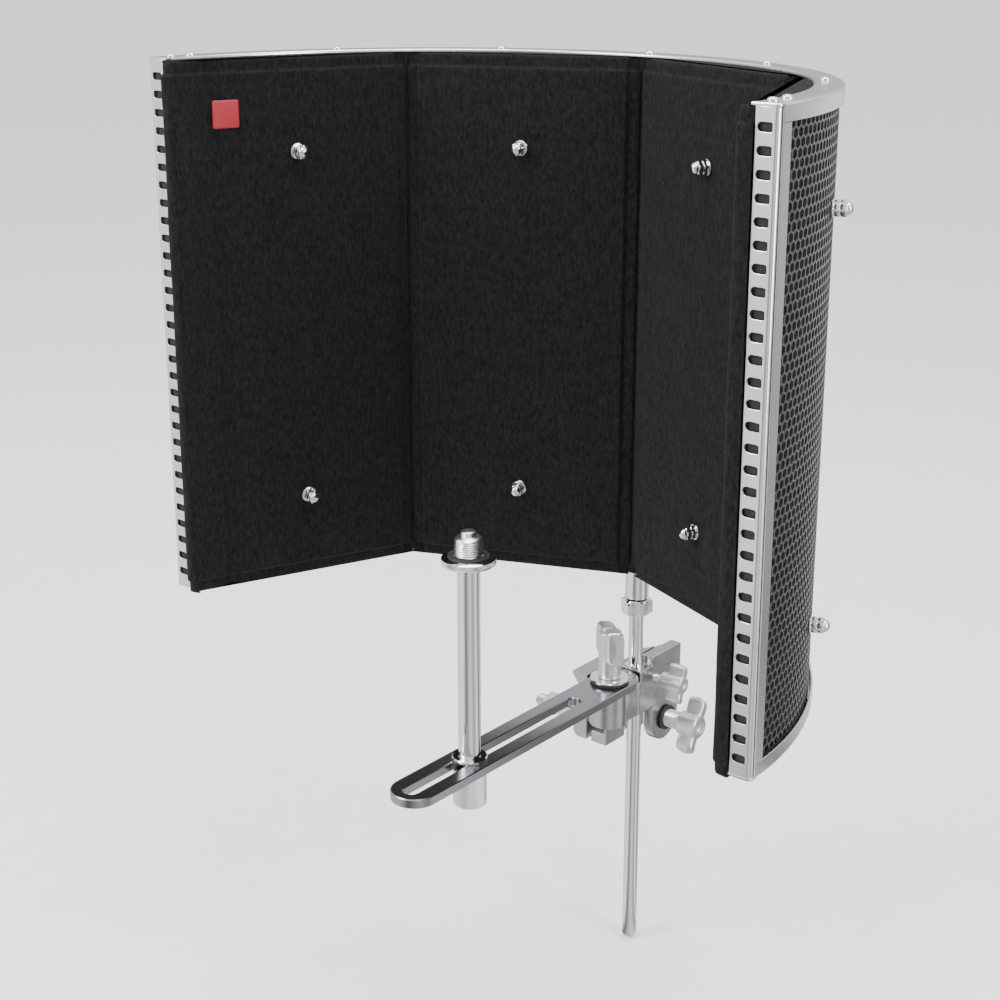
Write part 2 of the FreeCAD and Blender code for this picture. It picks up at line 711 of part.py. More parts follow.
def wing_screws():
    """Three wing screws: one locks the rod, one presses the stand's tube, one holds the arm."""
    rod_y, rod_z = size("rod_screw_y"), size("rod_screw_z")
    node("rod_screw_stud", cylinder("rod_stud", "<rod_screw_radius>", 32, spot(-8, rod_y, rod_z), RIGHT))
    node("rod_screw_wing", wing("rod_wing", 4.8, spot(15, rod_y, rod_z), spot(31, rod_y, rod_z), 12.2, 10.5,
                                4.6,
                                f"<rod_screw_radius> + {RUNNING}", 9.2, RIGHT, 153))
    jaw_y, jaw_z = size("seat_y"), size("screw_z")
    node("clamp_screw_stud", cylinder("clamp_stud", "<clamp_screw_radius>", 21.5, spot(0.5, jaw_y, jaw_z),
                                      RIGHT))
    node("clamp_pressure_pad", cylinder("pressure_pad", 7, 2.35, spot(-1.9, jaw_y, jaw_z), RIGHT))
    node("clamp_screw_wing", wing("clamp_wing", 7.2, spot(20, jaw_y, jaw_z), spot(34, jaw_y, jaw_z), 17.5,
                                  12.0, 5.2,
                                  f"<clamp_screw_radius> + {RUNNING}", 2.1, RIGHT, 140))
    node("clamp_screw_ring", ring("screw_ring", 8, "<clamp_screw_radius> + 0.1", 2.4,
                                  spot(8.05, jaw_y, jaw_z), RIGHT))
    pivot_y = size("pivot_y")
    top = size("arm_top")
    node("pivot_rubber_washer", ring("rubber_washer", 11.6, "<pivot_hole>", 1.75,
                                     spot(0, pivot_y, top + 0.03)))
    node("pivot_washer", ring("steel_washer", 12, "<pivot_hole>", 1.4, spot(0, pivot_y, top + 1.85)))
    node("pivot_stud", cylinder("arm_stud", "<pivot_radius>", 50, spot(0, pivot_y, -90)))
    node("pivot_wing", wing("arm_wing", 6.0, spot(0, pivot_y, top + 3.3), spot(0, pivot_y, -28.5), 12.5, 16.0,
                            5.0,
                            f"<pivot_radius> + {RUNNING}", 21.8, UP, -52))


# ---------------------------------------------------------------- clamp

def clamp_body():
    """The cast body: a split boss for the rod, a raised fin, a cheek for the clamp screw, a jaw with a
    round seat for the stand's tube, and a pad that carries the arm's pivot."""
    rod_y = size("rod_y")
    base = -92.0
    arm_floor = size("arm_top") - size("arm_thick") - 0.08
    boss = box("rod_boss", (-9, 182, base), (9.5, 203.5, -63.5))
    fin_plan = [(-9, 196.5), (1.6, 218), (1.6, 228), (9.5, 228), (9.5, 196.5)]
    fin = extrude("fin", outline("fin_outline", fin_plan), -58 - base, upright(base))
    bridge = box("bridge", (-29.8, 186, base), (9.5, 200, -78))
    jaw = box("fixed_jaw", (-29.8, 186, -123), (-17.75, 228, -78))
    side_on = FreeCAD.Rotation(FreeCAD.Vector(0, 1, 0), FreeCAD.Vector(0, 0, 1), RIGHT, "ZXY")
    cheek_outline = [(199, base + 2), (199, -105), (228, -105), (228, base + 2)]
    cheek = extrude("cheek", outline("cheek_outline", cheek_outline, {1: (213.5, -119.5)}), 6.4,
                    FreeCAD.Placement(spot(1.6, 0, 0), side_on))
    pivot_pad = cylinder("pivot_pad", 12, arm_floor - base, spot(0, size("pivot_y"), base))
    pivot_web = box("pivot_web", (-9, size("pivot_y"), base), (9, 188, arm_floor))
    solid = fuse("clamp_casting", boss, fin, bridge, jaw, cheek, pivot_pad, pivot_web)
    cuts = [
        cylinder("bush_bore", 5.65, 60, spot(0, rod_y, -100)),
        cylinder("bush_flange_room", 6.6, 20, spot(0, rod_y, -63.5)),
        cylinder("arm_sweep", 21.6, 20, spot(0, size("pivot_y"), arm_floor)),
        cylinder("tube_seat", "<seat_radius>", 100, spot(size("seat_x"), size("seat_y"), -140)),
        cylinder("rod_screw_hole", "<rod_screw_radius> + 0.07", 30,
                 spot(-8.6, size("rod_screw_y"), size("rod_screw_z")), RIGHT),
        cylinder("clamp_screw_hole", f"<clamp_screw_radius> + {RUNNING}", 20,
                 spot(0, size("seat_y"), size("screw_z")), RIGHT),
        cylinder("pivot_thread", f"<pivot_radius> + {RUNNING}", 40, spot(0, size("pivot_y"), base - 1)),
        box("pinch_slit", (-0.6, rod_y, base - 1), (0.6, 215, -50)),
        box("bolt_groove", (-31, 184, -115.4), (-19.3, 200, -106.6)),
    ]
    node("clamp_body", cut("clamp_casting_machined", solid, *cuts))


def clamp_fittings():
    """The side plate with its bolt, spacer and nut, and the bush in which the rod slides."""
    rod_y = size("rod_y")
    sleeve = ring("bush_sleeve", 5.6, "<rod_bore>", 28.6, spot(0, rod_y, -92))
    flange = ring("bush_flange", 6.2, "<rod_bore>", 0.8, spot(0, rod_y, -63.45))
    split = box("bush_split", (-0.5, rod_y, -93), (0.5, rod_y + 8, -60))
    node("rod_bush", cut("bush_joined", fuse("bush_solid", sleeve, flange), split))
    bolt_y, bolt_z = size("jaw_bolt_y"), size("jaw_bolt_z")
    plate = [(-45, -78), (-33.3, -78), (-33.3, -123), (-41, -123), (-44, -120), (-44, -97), (-39, -88),
             (-45, -80)]
    facing = FreeCAD.Rotation(RIGHT, FreeCAD.Vector(0, 0, 1), FreeCAD.Vector(0, -1, 0), "ZXY")
    slab = extrude("side_plate_slab", outline("side_plate_outline", plate), 28,
                   FreeCAD.Placement(spot(0, 214, 0), facing))
    bolt_hole = cylinder("side_plate_hole", f"<jaw_bolt_radius> + {RUNNING}", 30, spot(-60, bolt_y, bolt_z),
                         RIGHT)
    node("clamp_side_plate", cut("side_plate", slab, bolt_hole))
    node("jaw_bolt", cylinder("side_bolt", "<jaw_bolt_radius>", 59.4, spot(-79, bolt_y, bolt_z), RIGHT))
    node("jaw_bolt_spacer", ring("bolt_spacer", 6, f"<jaw_bolt_radius> + {RUNNING}", 19.8,
                                 spot(-63.9, bolt_y, bolt_z), RIGHT))
    node("jaw_bolt_nut", hex_nut("bolt_nut", 13, 6.4, f"<jaw_bolt_radius> + {RUNNING}",
                                 spot(-70.4, bolt_y, bolt_z), RIGHT))


# ---------------------------------------------------------------- build, check and write

def check():
    """Stops if anything in the document failed, or a sub-part's shape is empty or not valid."""
    for thing in DOC.Objects:
        if "Invalid" in thing.State or "Error" in thing.State:
            raise RuntimeError(f"{thing.Name} failed: {thing.State}")
    for label, thing in NODES.items():
        if thing.Shape.isNull() or not thing.Shape.isValid():
            raise RuntimeError(f"{label} has no valid shape")


def write():
    """One STEP file for each sub-part."""
    os.makedirs("parts", exist_ok=True)
    for label, thing in NODES.items():
        thing.Shape.exportStep(f"parts/{label}.step")
        low, high = thing.Shape.BoundBox, len(thing.Shape.Solids)
        print(f"{label:24s} solids {high:2d} volume {thing.Shape.Volume:10.1f} "
              f"x {low.XMin:7.1f} {low.XMax:7.1f} y {low.YMin:7.1f} {low.YMax:7.1f} z {low.ZMin:7.1f} {low.ZMax:7.1f}")


rims()
layers()
end_post()
pads()
badge()
through_bolts()
rim_screws()
rod_parts()
arm()
microphone_post()
wing_screws()
clamp_body()
clamp_fittings()
DOC.recompute()
check()
write()
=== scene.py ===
import json
import math

import bmesh
import bpy
from mathutils import Matrix, Vector, noise


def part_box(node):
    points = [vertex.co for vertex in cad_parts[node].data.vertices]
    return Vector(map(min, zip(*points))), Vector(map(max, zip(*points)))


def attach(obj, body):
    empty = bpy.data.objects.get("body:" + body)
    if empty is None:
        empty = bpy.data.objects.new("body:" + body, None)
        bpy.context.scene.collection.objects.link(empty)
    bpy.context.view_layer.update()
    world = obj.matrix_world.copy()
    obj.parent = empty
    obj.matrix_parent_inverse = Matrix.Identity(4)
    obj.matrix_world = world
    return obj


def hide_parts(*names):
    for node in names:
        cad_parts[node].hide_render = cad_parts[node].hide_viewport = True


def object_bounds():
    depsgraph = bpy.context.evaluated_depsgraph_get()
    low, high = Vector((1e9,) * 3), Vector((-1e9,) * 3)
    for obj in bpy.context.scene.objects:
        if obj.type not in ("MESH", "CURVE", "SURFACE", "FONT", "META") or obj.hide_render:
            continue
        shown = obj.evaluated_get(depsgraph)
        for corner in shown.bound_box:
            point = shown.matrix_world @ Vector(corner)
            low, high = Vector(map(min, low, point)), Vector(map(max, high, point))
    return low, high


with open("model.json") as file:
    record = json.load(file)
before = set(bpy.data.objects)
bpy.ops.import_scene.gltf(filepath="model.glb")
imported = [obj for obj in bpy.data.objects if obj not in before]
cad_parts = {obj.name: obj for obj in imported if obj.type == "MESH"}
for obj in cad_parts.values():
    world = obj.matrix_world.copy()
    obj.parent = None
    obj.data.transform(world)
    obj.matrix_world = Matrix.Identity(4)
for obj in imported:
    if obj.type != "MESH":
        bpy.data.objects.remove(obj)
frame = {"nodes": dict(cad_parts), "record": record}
CAD_LOW, CAD_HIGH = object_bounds()

# Lengths below are in millimetres from the panel's own origin: the centre of its arc, at its bottom edge.
# +X is to the right, +Y towards the panel's closed back, +Z up. spot() turns them into the frame's metres.
MM = 0.001
RIM_LOW, RIM_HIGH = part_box("top_rim")
BOTTOM_LOW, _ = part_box("bottom_rim")
ARC_X = (RIM_LOW[0] + RIM_HIGH[0]) / 2
ARC_RADIUS = (RIM_HIGH[0] - RIM_LOW[0]) / 2 / MM
ARC_Y = RIM_HIGH[1] - ARC_RADIUS * MM
BASE_Z = BOTTOM_LOW[2]
HEIGHT = (RIM_HIGH[2] - BASE_Z) / MM

# The panel's driving sizes, in millimetres.
RIM_WIDTH = 14.5
RIM_STEPS = 144
SHEET = 1.2  # thickness of the rims' and the posts' metal
SHELL_RADIUS = 197.8
SCREW_CIRCLE = 191.0
PAD_FACE = 167.0  # from the arc's centre to the middle of a pad's flat face
PAD_BACK = 184.9  # radius of the pads' round back
PAD_EDGE = 183.0 * math.sin(math.radians(22.5)) - 0.02  # half of a pad's face, a hair short of its neighbour
INNER_SEAT, OUTER_SEAT = 166.98, 197.9  # where the through bolts' washers sit

# Bores, in millimetres, of what goes on a 4 mm bolt, an 8 mm stud, the rod and the microphone thread.
BOLT_BORE, STUD_BORE, ROD_BORE, THREAD_BORE = 2.05, 4.05, 4.55, 7.93

RIGHT = Vector((1, 0, 0))
BACK = Vector((0, 1, 0))
UP = Vector((0, 0, 1))


def spot(p):
    """A point of the panel, as a place in the frame."""
    return Vector((ARC_X + p[0] * MM, ARC_Y + p[1] * MM, BASE_Z + p[2] * MM))


def unspot(p):
    return Vector(((p[0] - ARC_X) / MM, (p[1] - ARC_Y) / MM, (p[2] - BASE_Z) / MM))


def node_box(node):
    """A CAD node's lowest and highest corners, in millimetres from the panel's origin."""
    low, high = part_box(node)
    return unspot(low), unspot(high)


def radial(angle):
    """The outward direction at an angle round the arc: 0 is the closed back, and positive is to the right."""
    turn = math.radians(angle)
    return Vector((math.sin(turn), math.cos(turn), 0))


def add_object(name, data):
    """A new object in the scene."""
    made = bpy.data.objects.new(name, data)
    bpy.context.scene.collection.objects.link(made)
    return made


# ---------------------------------------------------------------- materials

def new_material(name, color, metallic=0.0, roughness=0.5, **sockets):
    """A Principled material with its plain values set on the shader itself."""
    material = bpy.data.materials.new(name)
    material.use_nodes = True
    shader = material.node_tree.nodes["Principled BSDF"]
    shader.inputs["Base Color"].default_value = (*color, 1)
    shader.inputs["Metallic"].default_value = metallic
    shader.inputs["Roughness"].default_value = roughness
    for socket, value in sockets.items():
        shader.inputs[socket.replace("_", " ")].default_value = value
    return material


def noise_node(material, scale, detail=4.0, roughness=0.55, stretch=(1, 1, 1), rotation=(0, 0, 0)):
    """Noise in object space, which may be stretched into streaks. Scale is in cycles per metre."""
    nodes, links = material.node_tree.nodes, material.node_tree.links
    coords = nodes.new("ShaderNodeTexCoord")
    mapping = nodes.new("ShaderNodeMapping")
    mapping.inputs["Scale"].default_value = stretch
    mapping.inputs["Rotation"].default_value = rotation
    texture = nodes.new("ShaderNodeTexNoise")
    texture.inputs["Scale"].default_value = scale
    texture.inputs["Detail"].default_value = detail
    texture.inputs["Roughness"].default_value = roughness
    links.new(coords.outputs["Object"], mapping.inputs["Vector"])
    links.new(mapping.outputs["Vector"], texture.inputs["Vector"])
    return texture


def ramp(material, source, low, high, start=0.3, end=0.7):
    """Maps a texture's grey value onto two colours or two numbers."""
    nodes, links = material.node_tree.nodes, material.node_tree.links
    if isinstance(low, (int, float)):
        mapped = nodes.new("ShaderNodeMapRange")
        mapped.inputs["From Min"].default_value = start
        mapped.inputs["From Max"].default_value = end
        mapped.inputs["To Min"].default_value = low
        mapped.inputs["To Max"].default_value = high
        links.new(source.outputs[0], mapped.inputs["Value"])
        return mapped.outputs["Result"]
    colors = nodes.new("ShaderNodeValToRGB")
    colors.color_ramp.elements[0].position = start
    colors.color_ramp.elements[0].color = (*low, 1)
    colors.color_ramp.elements[1].position = end
    colors.color_ramp.elements[1].color = (*high, 1)
    links.new(source.outputs[0], colors.inputs["Fac"])
    return colors.outputs["Color"]


def feed(material, socket, output):
    material.node_tree.links.new(output, material.node_tree.nodes["Principled BSDF"].inputs[socket])


def bump(material, texture, distance, strength=1.0, after=None):
    """Adds a bump whose height is given in metres, on top of an earlier one."""
    nodes, links = material.node_tree.nodes, material.node_tree.links
    made = nodes.new("ShaderNodeBump")
    made.inputs["Distance"].default_value = distance
    made.inputs["Strength"].default_value = strength
    links.new(texture.outputs[0], made.inputs["Height"])
    if after:
        links.new(after.outputs["Normal"], made.inputs["Normal"])
    feed(material, "Normal", made.outputs["Normal"])
    return made


def felt_material():
    """Dense black felt: matted fibres with faint upright streaks and a soft sheen."""
    material = new_material("felt", (0.008, 0.008, 0.009), roughness=0.95, Sheen_Weight=0.035,
                            Sheen_Roughness=0.5)
    material.node_tree.nodes["Principled BSDF"].inputs["Sheen Tint"].default_value = (0.7, 0.72, 0.76, 1)
    material.node_tree.nodes["Principled BSDF"].inputs["Specular IOR Level"].default_value = 0.12
    streaks = noise_node(material, 560, 6, 0.75, stretch=(1, 1, 0.45))
    fibres = noise_node(material, 1700, 5, 0.75, stretch=(1, 1, 0.7))
    patches = noise_node(material, 70, 3, 0.5)
    feed(material, "Base Color", ramp(material, streaks, (0.003, 0.003, 0.004), (0.017, 0.017, 0.019), 0.38,
                                      0.72))
    first = bump(material, patches, 0.0012, 0.6)
    second = bump(material, streaks, 0.0008, 0.9, first)
    bump(material, fibres, 0.0005, 1.0, second)
    return material


def brushed_material(name, color, roughness, stretch, scale=900, spread=0.06, height=0.35):
    """Satin aluminium with fine streaks along its length."""
    material = new_material(name, color, metallic=1.0, roughness=roughness)
    streaks = noise_node(material, scale, 5, 0.6, stretch=stretch)
    wear = noise_node(material, 30, 3, 0.5)
    feed(material, "Roughness", ramp(material, streaks, roughness - spread, roughness + spread * 1.5))
    tint = tuple(c * 0.93 for c in color)
    feed(material, "Base Color", ramp(material, wear, tint, color, 0.35, 0.65))
    bump(material, streaks, 0.00002, height)
    return material


def cast_material(name, dark, light, smooth, rough):
    """Tumbled cast aluminium: fine grain and a few soft scuffs."""
    material = new_material(name, light, metallic=1.0, roughness=rough)
    grain = noise_node(material, 1800, 4, 0.6)
    scuffs = noise_node(material, 90, 4, 0.55)
    feed(material, "Roughness", ramp(material, scuffs, smooth, rough))
    feed(material, "Base Color", ramp(material, scuffs, dark, light))
    bump(material, grain, 0.00003, 0.35)
    return material


def polished_material(name, color, low, high):
    """Polished plated metal with the faintest haze and handling marks."""
    material = new_material(name, color, metallic=1.0, roughness=low)
    haze = noise_node(material, 70, 4, 0.6)
    feed(material, "Roughness", ramp(material, haze, low, high, 0.4, 0.75))
    marks = noise_node(material, 600, 3, 0.5)
    bump(material, marks, 0.000008, 0.3)
    return material


def shell_material():
    """Black powder coat on perforated steel."""
    material = new_material("black_shell", (0.022, 0.022, 0.024), metallic=0.0, roughness=0.42,
                            Coat_Weight=0.25)
    orange_peel = noise_node(material, 1400, 3, 0.5)
    dust = noise_node(material, 90, 5, 0.6)
    feed(material, "Roughness", ramp(material, dust, 0.34, 0.5))
    feed(material, "Base Color", ramp(material, dust, (0.02, 0.02, 0.022), (0.034, 0.034, 0.037)))
    bump(material, orange_peel, 0.00005, 0.4)
    return material


def matt_material(name, dark, light, roughness, scale, height):
    """A matt non-metal with mottled colour and a fine bump."""
    material = new_material(name, dark, roughness=roughness)
    mottle = noise_node(material, scale, 4, 0.6)
    feed(material, "Base Color", ramp(material, mottle, dark, light))
    bump(material, mottle, height, 0.6)
    return material


FELT = felt_material()
RIM_METAL = brushed_material("satin_rim", (0.83, 0.84, 0.85), 0.24, (1, 1, 14))
POST_METAL = brushed_material("satin_post", (0.86, 0.865, 0.87), 0.22, (14, 14, 1))
CAST = cast_material("cast_aluminium", (0.40, 0.405, 0.415), (0.47, 0.475, 0.485), 0.2, 0.29)
WING_CAST = cast_material("wing_aluminium", (0.66, 0.67, 0.68), (0.74, 0.75, 0.76), 0.3, 0.4)
CHROME = polished_material("chrome", (0.88, 0.885, 0.89), 0.03, 0.07)
ARM_STEEL = brushed_material("arm_steel", (0.34, 0.35, 0.365), 0.24, (1, 0.08, 1), 5200, 0.02, 0.03)
STEEL = polished_material("bright_steel", (0.84, 0.84, 0.84), 0.10, 0.2)
SATIN_STEEL = polished_material("satin_steel", (0.86, 0.86, 0.86), 0.26, 0.38)
SHELL = shell_material()
WOOL = matt_material("wool", (0.012, 0.012, 0.013), (0.03, 0.03, 0.032), 0.95, 700, 0.0006)
FOIL = polished_material("foil", (0.85, 0.85, 0.86), 0.15, 0.3)
RUBBER = matt_material("black_rubber", (0.012, 0.012, 0.012), (0.022, 0.022, 0.022), 0.6, 900, 0.00008)
BADGE = matt_material("red_badge", (0.25, 0.001, 0.008), (0.30, 0.002, 0.011), 0.45, 300, 0.00004)

SLOT_MATERIALS = {
    "satin_aluminium": RIM_METAL, "black_shell": SHELL, "felt": FELT, "wool": WOOL, "foil": FOIL,
    "bright_steel": STEEL, "chrome": CHROME, "cast_aluminium": CAST, "black_rubber": RUBBER,
    "red_badge": BADGE,
}
NODE_SLOTS = {part["node"]: part["material_slot"] for part in frame["record"]["subparts"]}
BODY_OF = {node: body for body, nodes in frame["record"]["behaviour"]["bodies"].items() for node in nodes}


# ---------------------------------------------------------------- mesh building

class Shape:
    """Vertices and faces in millimetres from the panel's origin."""

    def __init__(self):
        self.verts = []
        self.faces = []

    def add(self, verts, faces):
        start = len(self.verts)
        self.verts.extend(Vector(v) for v in verts)
        self.faces.extend([start + i for i in face] for face in faces)
        return self

    def grid(self, rows, closed_rows=False, closed_columns=False):
        """A sheet of quads through rows of points."""
        count, width = len(rows), len(rows[0])
        faces = []
        for i in range(count if closed_rows else count - 1):
            below = (i + 1) % count
            for j in range(width if closed_columns else width - 1):
                beside = (j + 1) % width
                faces.append([i * width + j, i * width + beside, below * width + beside, below * width + j])
        return self.add([p for row in rows for p in row], faces)

    def turn(self, origin, axis, rows, segments=48, radius=None, closed=False):
        """A turned piece. rows hold (radius, height along the axis), and radius() may reshape each by its angle.
        An open profile is capped at both ends, and a closed one is a ring."""
        side = axis.orthogonal().normalized()
        if abs(axis.z) > 0.9:
            side = RIGHT.copy()
        other = axis.cross(side)
        rings = []
        for r, h in rows:
            ring = []
            for k in range(segments):
                phi = math.tau * k / segments
                reach = radius(r, h, phi) if radius else r
                ring.append(origin + axis * h + (side * math.cos(phi) + other * math.sin(phi)) * reach)
            rings.append(ring)
        start = len(self.verts)
        self.grid(rings, closed_rows=closed, closed_columns=True)
        if not closed:
            last = start + (len(rings) - 1) * segments
            self.faces.append(list(range(start, start + segments))[::-1])
            self.faces.append(list(range(last, last + segments)))
        return self


def build(name, shape, sharp=35.0, merge=0.01):
    """A Blender object from a shape, with its normals facing out and its hard edges marked."""
    mesh = bpy.data.meshes.new(name)
    mesh.from_pydata([spot(v) for v in shape.verts], [], shape.faces)
    work = bmesh.new()
    work.from_mesh(mesh)
    if merge:
        bmesh.ops.remove_doubles(work, verts=work.verts, dist=merge * MM)
    bmesh.ops.recalc_face_normals(work, faces=work.faces)
    mark_sharp(work, sharp)
    work.to_mesh(mesh)
    work.free()
    return add_object(name, mesh)


def mark_sharp(work, degrees):
    limit = math.radians(degrees)
    for face in work.faces:
        face.smooth = True
    for edge in work.edges:
        edge.smooth = len(edge.link_faces) == 2 and edge.calc_face_angle(0) < limit


def place(made, material, *nodes, body=None):
    """Gives a piece its material and its body, and hides the CAD nodes that it stands for."""
    made.data.materials.clear()
    made.data.materials.append(material)
    if nodes:
        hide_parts(*nodes)
    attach(made, body or BODY_OF[nodes[0]])
    return made


def turned(name, node, material, origin, axis, rows, segments=64, radius=None, closed=True, sharp=35.0):
    """Builds and places a turned piece that stands for a CAD node."""
    shape = Shape().turn(origin, axis, rows, segments, radius, closed)
    place(build(name, shape, sharp), material, node)


def apply_modifiers(made):
    """Replaces an object's mesh by the result of its modifiers."""
    graph = bpy.context.evaluated_depsgraph_get()
    mesh = bpy.data.meshes.new_from_object(made.evaluated_get(graph))
    made.modifiers.clear()
    old, made.data = made.data, mesh
    bpy.data.meshes.remove(old)
    return made


def hexagonal(flats):
    """Reshapes a turned piece into a hexagon, which keeps the turned chamfers at its corners."""
    def reach(r, h, phi):
        across = (phi + math.pi / 6) % (math.pi / 3) - math.pi / 6
        return min(r, flats / 2 / math.cos(across))
    return reach


def rounded(points, radii, steps=5):
    """A closed outline with its corners rounded by arcs."""
    outline = []
    count = len(points)
    for i, corner in enumerate(points):
        here = Vector(corner)
        before = (Vector(points[i - 1]) - here).normalized()
        after = (Vector(points[(i + 1) % count]) - here).normalized()
        r = radii[i]
        if r <= 0:
            outline.append(here)
            continue
        half = before.angle(after) / 2
        reach = r / math.tan(half)
        centre = here + (before + after).normalized() * (r / math.sin(half))
        start, end = here + before * reach - centre, here + after * reach - centre
        sweep = start.angle(end)
        for k in range(steps + 1):
            f = k / steps
            swung = start * math.sin((1 - f) * sweep) + end * math.sin(f * sweep)
            outline.append(centre + swung / math.sin(sweep))
    return outline


# ---------------------------------------------------------------- rims

def rim_profile():
    """The top rim's C section as (radius, height): plate, outer lip and short inner lip."""
    outer, inner, top = ARC_RADIUS, ARC_RADIUS - RIM_WIDTH, HEIGHT
    points = [(outer, top - 8), (outer, top), (inner, top), (inner, top - 3), (inner + SHEET, top - 3),
              (inner + SHEET, top - 1.5), (outer - SHEET, top - 1.5), (outer - SHEET, top - 8)]
    return rounded(points, [0.3, 1.5, 0.9, 0.3, 0.3, 0.0, 0.0, 0.3], 4)


def rims():
    """The two rims: the C section swept round the arc, and a flat plate over each end post."""
    profile = rim_profile()
    inner = ARC_RADIUS - RIM_WIDTH
    for node, flip in (("top_rim", False), ("bottom_rim", True)):
        shape = Shape()
        rows = []
        for k in range(RIM_STEPS + 1):
            out = radial(-90 + 180 * k / RIM_STEPS)
            rows.append([out * p[0] + UP * (HEIGHT - p[1] if flip else p[1]) for p in profile])
        shape.grid(rows, closed_columns=True)
        shape.faces.append(list(range(len(profile))))
        shape.faces.append(list(range(len(rows) * len(profile) - 1, (len(rows) - 1) * len(profile) - 1, -1)))
        for side in (-1, 1):
            corner = [(side * inner, 0.6), (side * inner, -4.0), (side * ARC_RADIUS, -4.0),
                      (side * ARC_RADIUS, 0.6)]
            outline = rounded(corner, [0, 0.6, 2.0, 0], 5)
            levels = [(0.3, 0.0), (0.0, 0.3), (0.0, 1.2), (0.3, 1.5)]  # (how far it shrinks, how far down)
            middle = Vector((side * (inner + ARC_RADIUS) / 2, -1.7))
            rings = []
            for shrink, down in levels:
                ring = []
                for p in outline:
                    pull = Vector((p[0] - middle.x, p[1] - middle.y))
                    q = middle + pull * (1 - shrink / 5)
                    ring.append(Vector((q.x, q.y, down if flip else HEIGHT - down)))
                rings.append(ring)
            start = len(shape.verts)
            shape.grid(rings, closed_columns=True)
            shape.faces.append(list(range(start, start + len(outline))))
            last = start + (len(levels) - 1) * len(outline)
            shape.faces.append(list(range(last, last + len(outline))))
        place(build(node + "_strip", shape), RIM_METAL, node)


# ---------------------------------------------------------------- perforated shell

def shell():
    """A curved steel sheet with staggered hexagonal holes."""
    radius = SHELL_RADIUS
    columns = 120
    pitch = math.pi * radius / columns
    step = pitch * math.sqrt(3) / 2
    low, high = node_box("perforated_shell")
    rows = int((high.z - low.z) / step)
    start = low.z + (high.z - low.z - rows * step) / 2
    cell = pitch / math.sqrt(3)
    hole = cell * 0.80
    depth = 1.0
    shape = Shape()
    corners = [(math.sin(math.tau * k / 6), math.cos(math.tau * k / 6)) for k in range(6)]
    for row in range(rows):
        z = start + (row + 0.5) * step
        for column in range(columns):
            s = (column + (0.25 if row % 2 else 0.75)) * pitch
            rings = []
            for reach, sink in ((cell, 0), (hole, 0), (hole * 0.99, depth)):
                ring = []
                for cx, cz in corners:
                    along = min(max(s + cx * reach, 0.0), math.pi * radius)
                    angle = along / radius - math.pi / 2
                    up = min(max(z + cz * reach, low.z), high.z)
                    out = radius - sink
                    ring.append((out * math.sin(angle), out * math.cos(angle), up))
                rings.append(ring)
            shape.grid(rings, closed_columns=True)
    made = build("perforated_sheet", shape, 30, 0.03)
    place(made, SHELL, "perforated_shell")


# ---------------------------------------------------------------- end posts

def stadium(x, y, length, width, steps=10):
    """The outline of a slot with round ends, along x."""
    r = width / 2
    half = length / 2 - r
    points = []
    for way, start in ((1, -math.pi / 2), (-1, math.pi / 2)):
        for k in range(steps + 1):
            a = start + math.pi * k / steps
            points.append((x + way * half + r * math.cos(a), y + r * math.sin(a)))
    return points


def plate(name, outline, holes, thick, soft, steps):
    """A flat plate in the XY plane with holes and softened edges, centred on its own thickness. It is drawn a
    little small, because its softened edge then grows it by that much."""
    curve = bpy.data.curves.new(name, "CURVE")
    curve.dimensions = "2D"
    curve.fill_mode = "BOTH"
    for points in [outline] + [hole[::-1] for hole in holes]:
        spline = curve.splines.new("POLY")
        spline.points.add(len(points) - 1)
        for point, p in zip(spline.points, points):
            point.co = (p[0] * MM, p[1] * MM, 0, 1)
        spline.use_cyclic_u = True
    curve.extrude = (thick / 2 - soft) * MM
    curve.bevel_depth = soft * MM
    curve.bevel_resolution = steps
    shaped = add_object(name, curve)
    graph = bpy.context.evaluated_depsgraph_get()
    mesh = bpy.data.meshes.new_from_object(shaped.evaluated_get(graph))
    bpy.data.objects.remove(shaped)
    return mesh


def finish_mesh(name, mesh, sharp):
    """A Blender object from a plate's mesh, with its hard edges marked."""
    work = bmesh.new()
    work.from_mesh(mesh)
    bmesh.ops.remove_doubles(work, verts=work.verts, dist=0.00001)
    mark_sharp(work, sharp)
    work.to_mesh(mesh)
    work.free()
    return add_object(name, mesh)


def post_liners():
    """The wool's ends, which fill the end posts behind their slots."""
    for name, side in (("left_liner", -1), ("right_liner", 1)):
        shape = Shape()
        rows = []
        for k in range(101):
            z = 3.0 + (HEIGHT - 6.0) * k / 100
            row = []
            for x, y in ((189.4, 2.0), (189.4, -1.9), (191.0, -2.3), (193.0, -2.4), (195.0, -2.4),
                         (197.0, -2.2),
                         (198.3, -1.2), (198.3, 2.0)):
                lump = noise.noise(Vector((x * 0.4, z * 0.3, side * 5.0))) * 0.25
                row.append((side * x, y - lump if y < 0 else y, z))
            rows.append(row)
        shape.grid(rows, closed_columns=True)
        count = len(rows[0])
        shape.faces.append(list(range(count)))
        shape.faces.append(list(range(100 * count, 101 * count)))
        made = place(build(name, shape, 60), WOOL, body="panel")


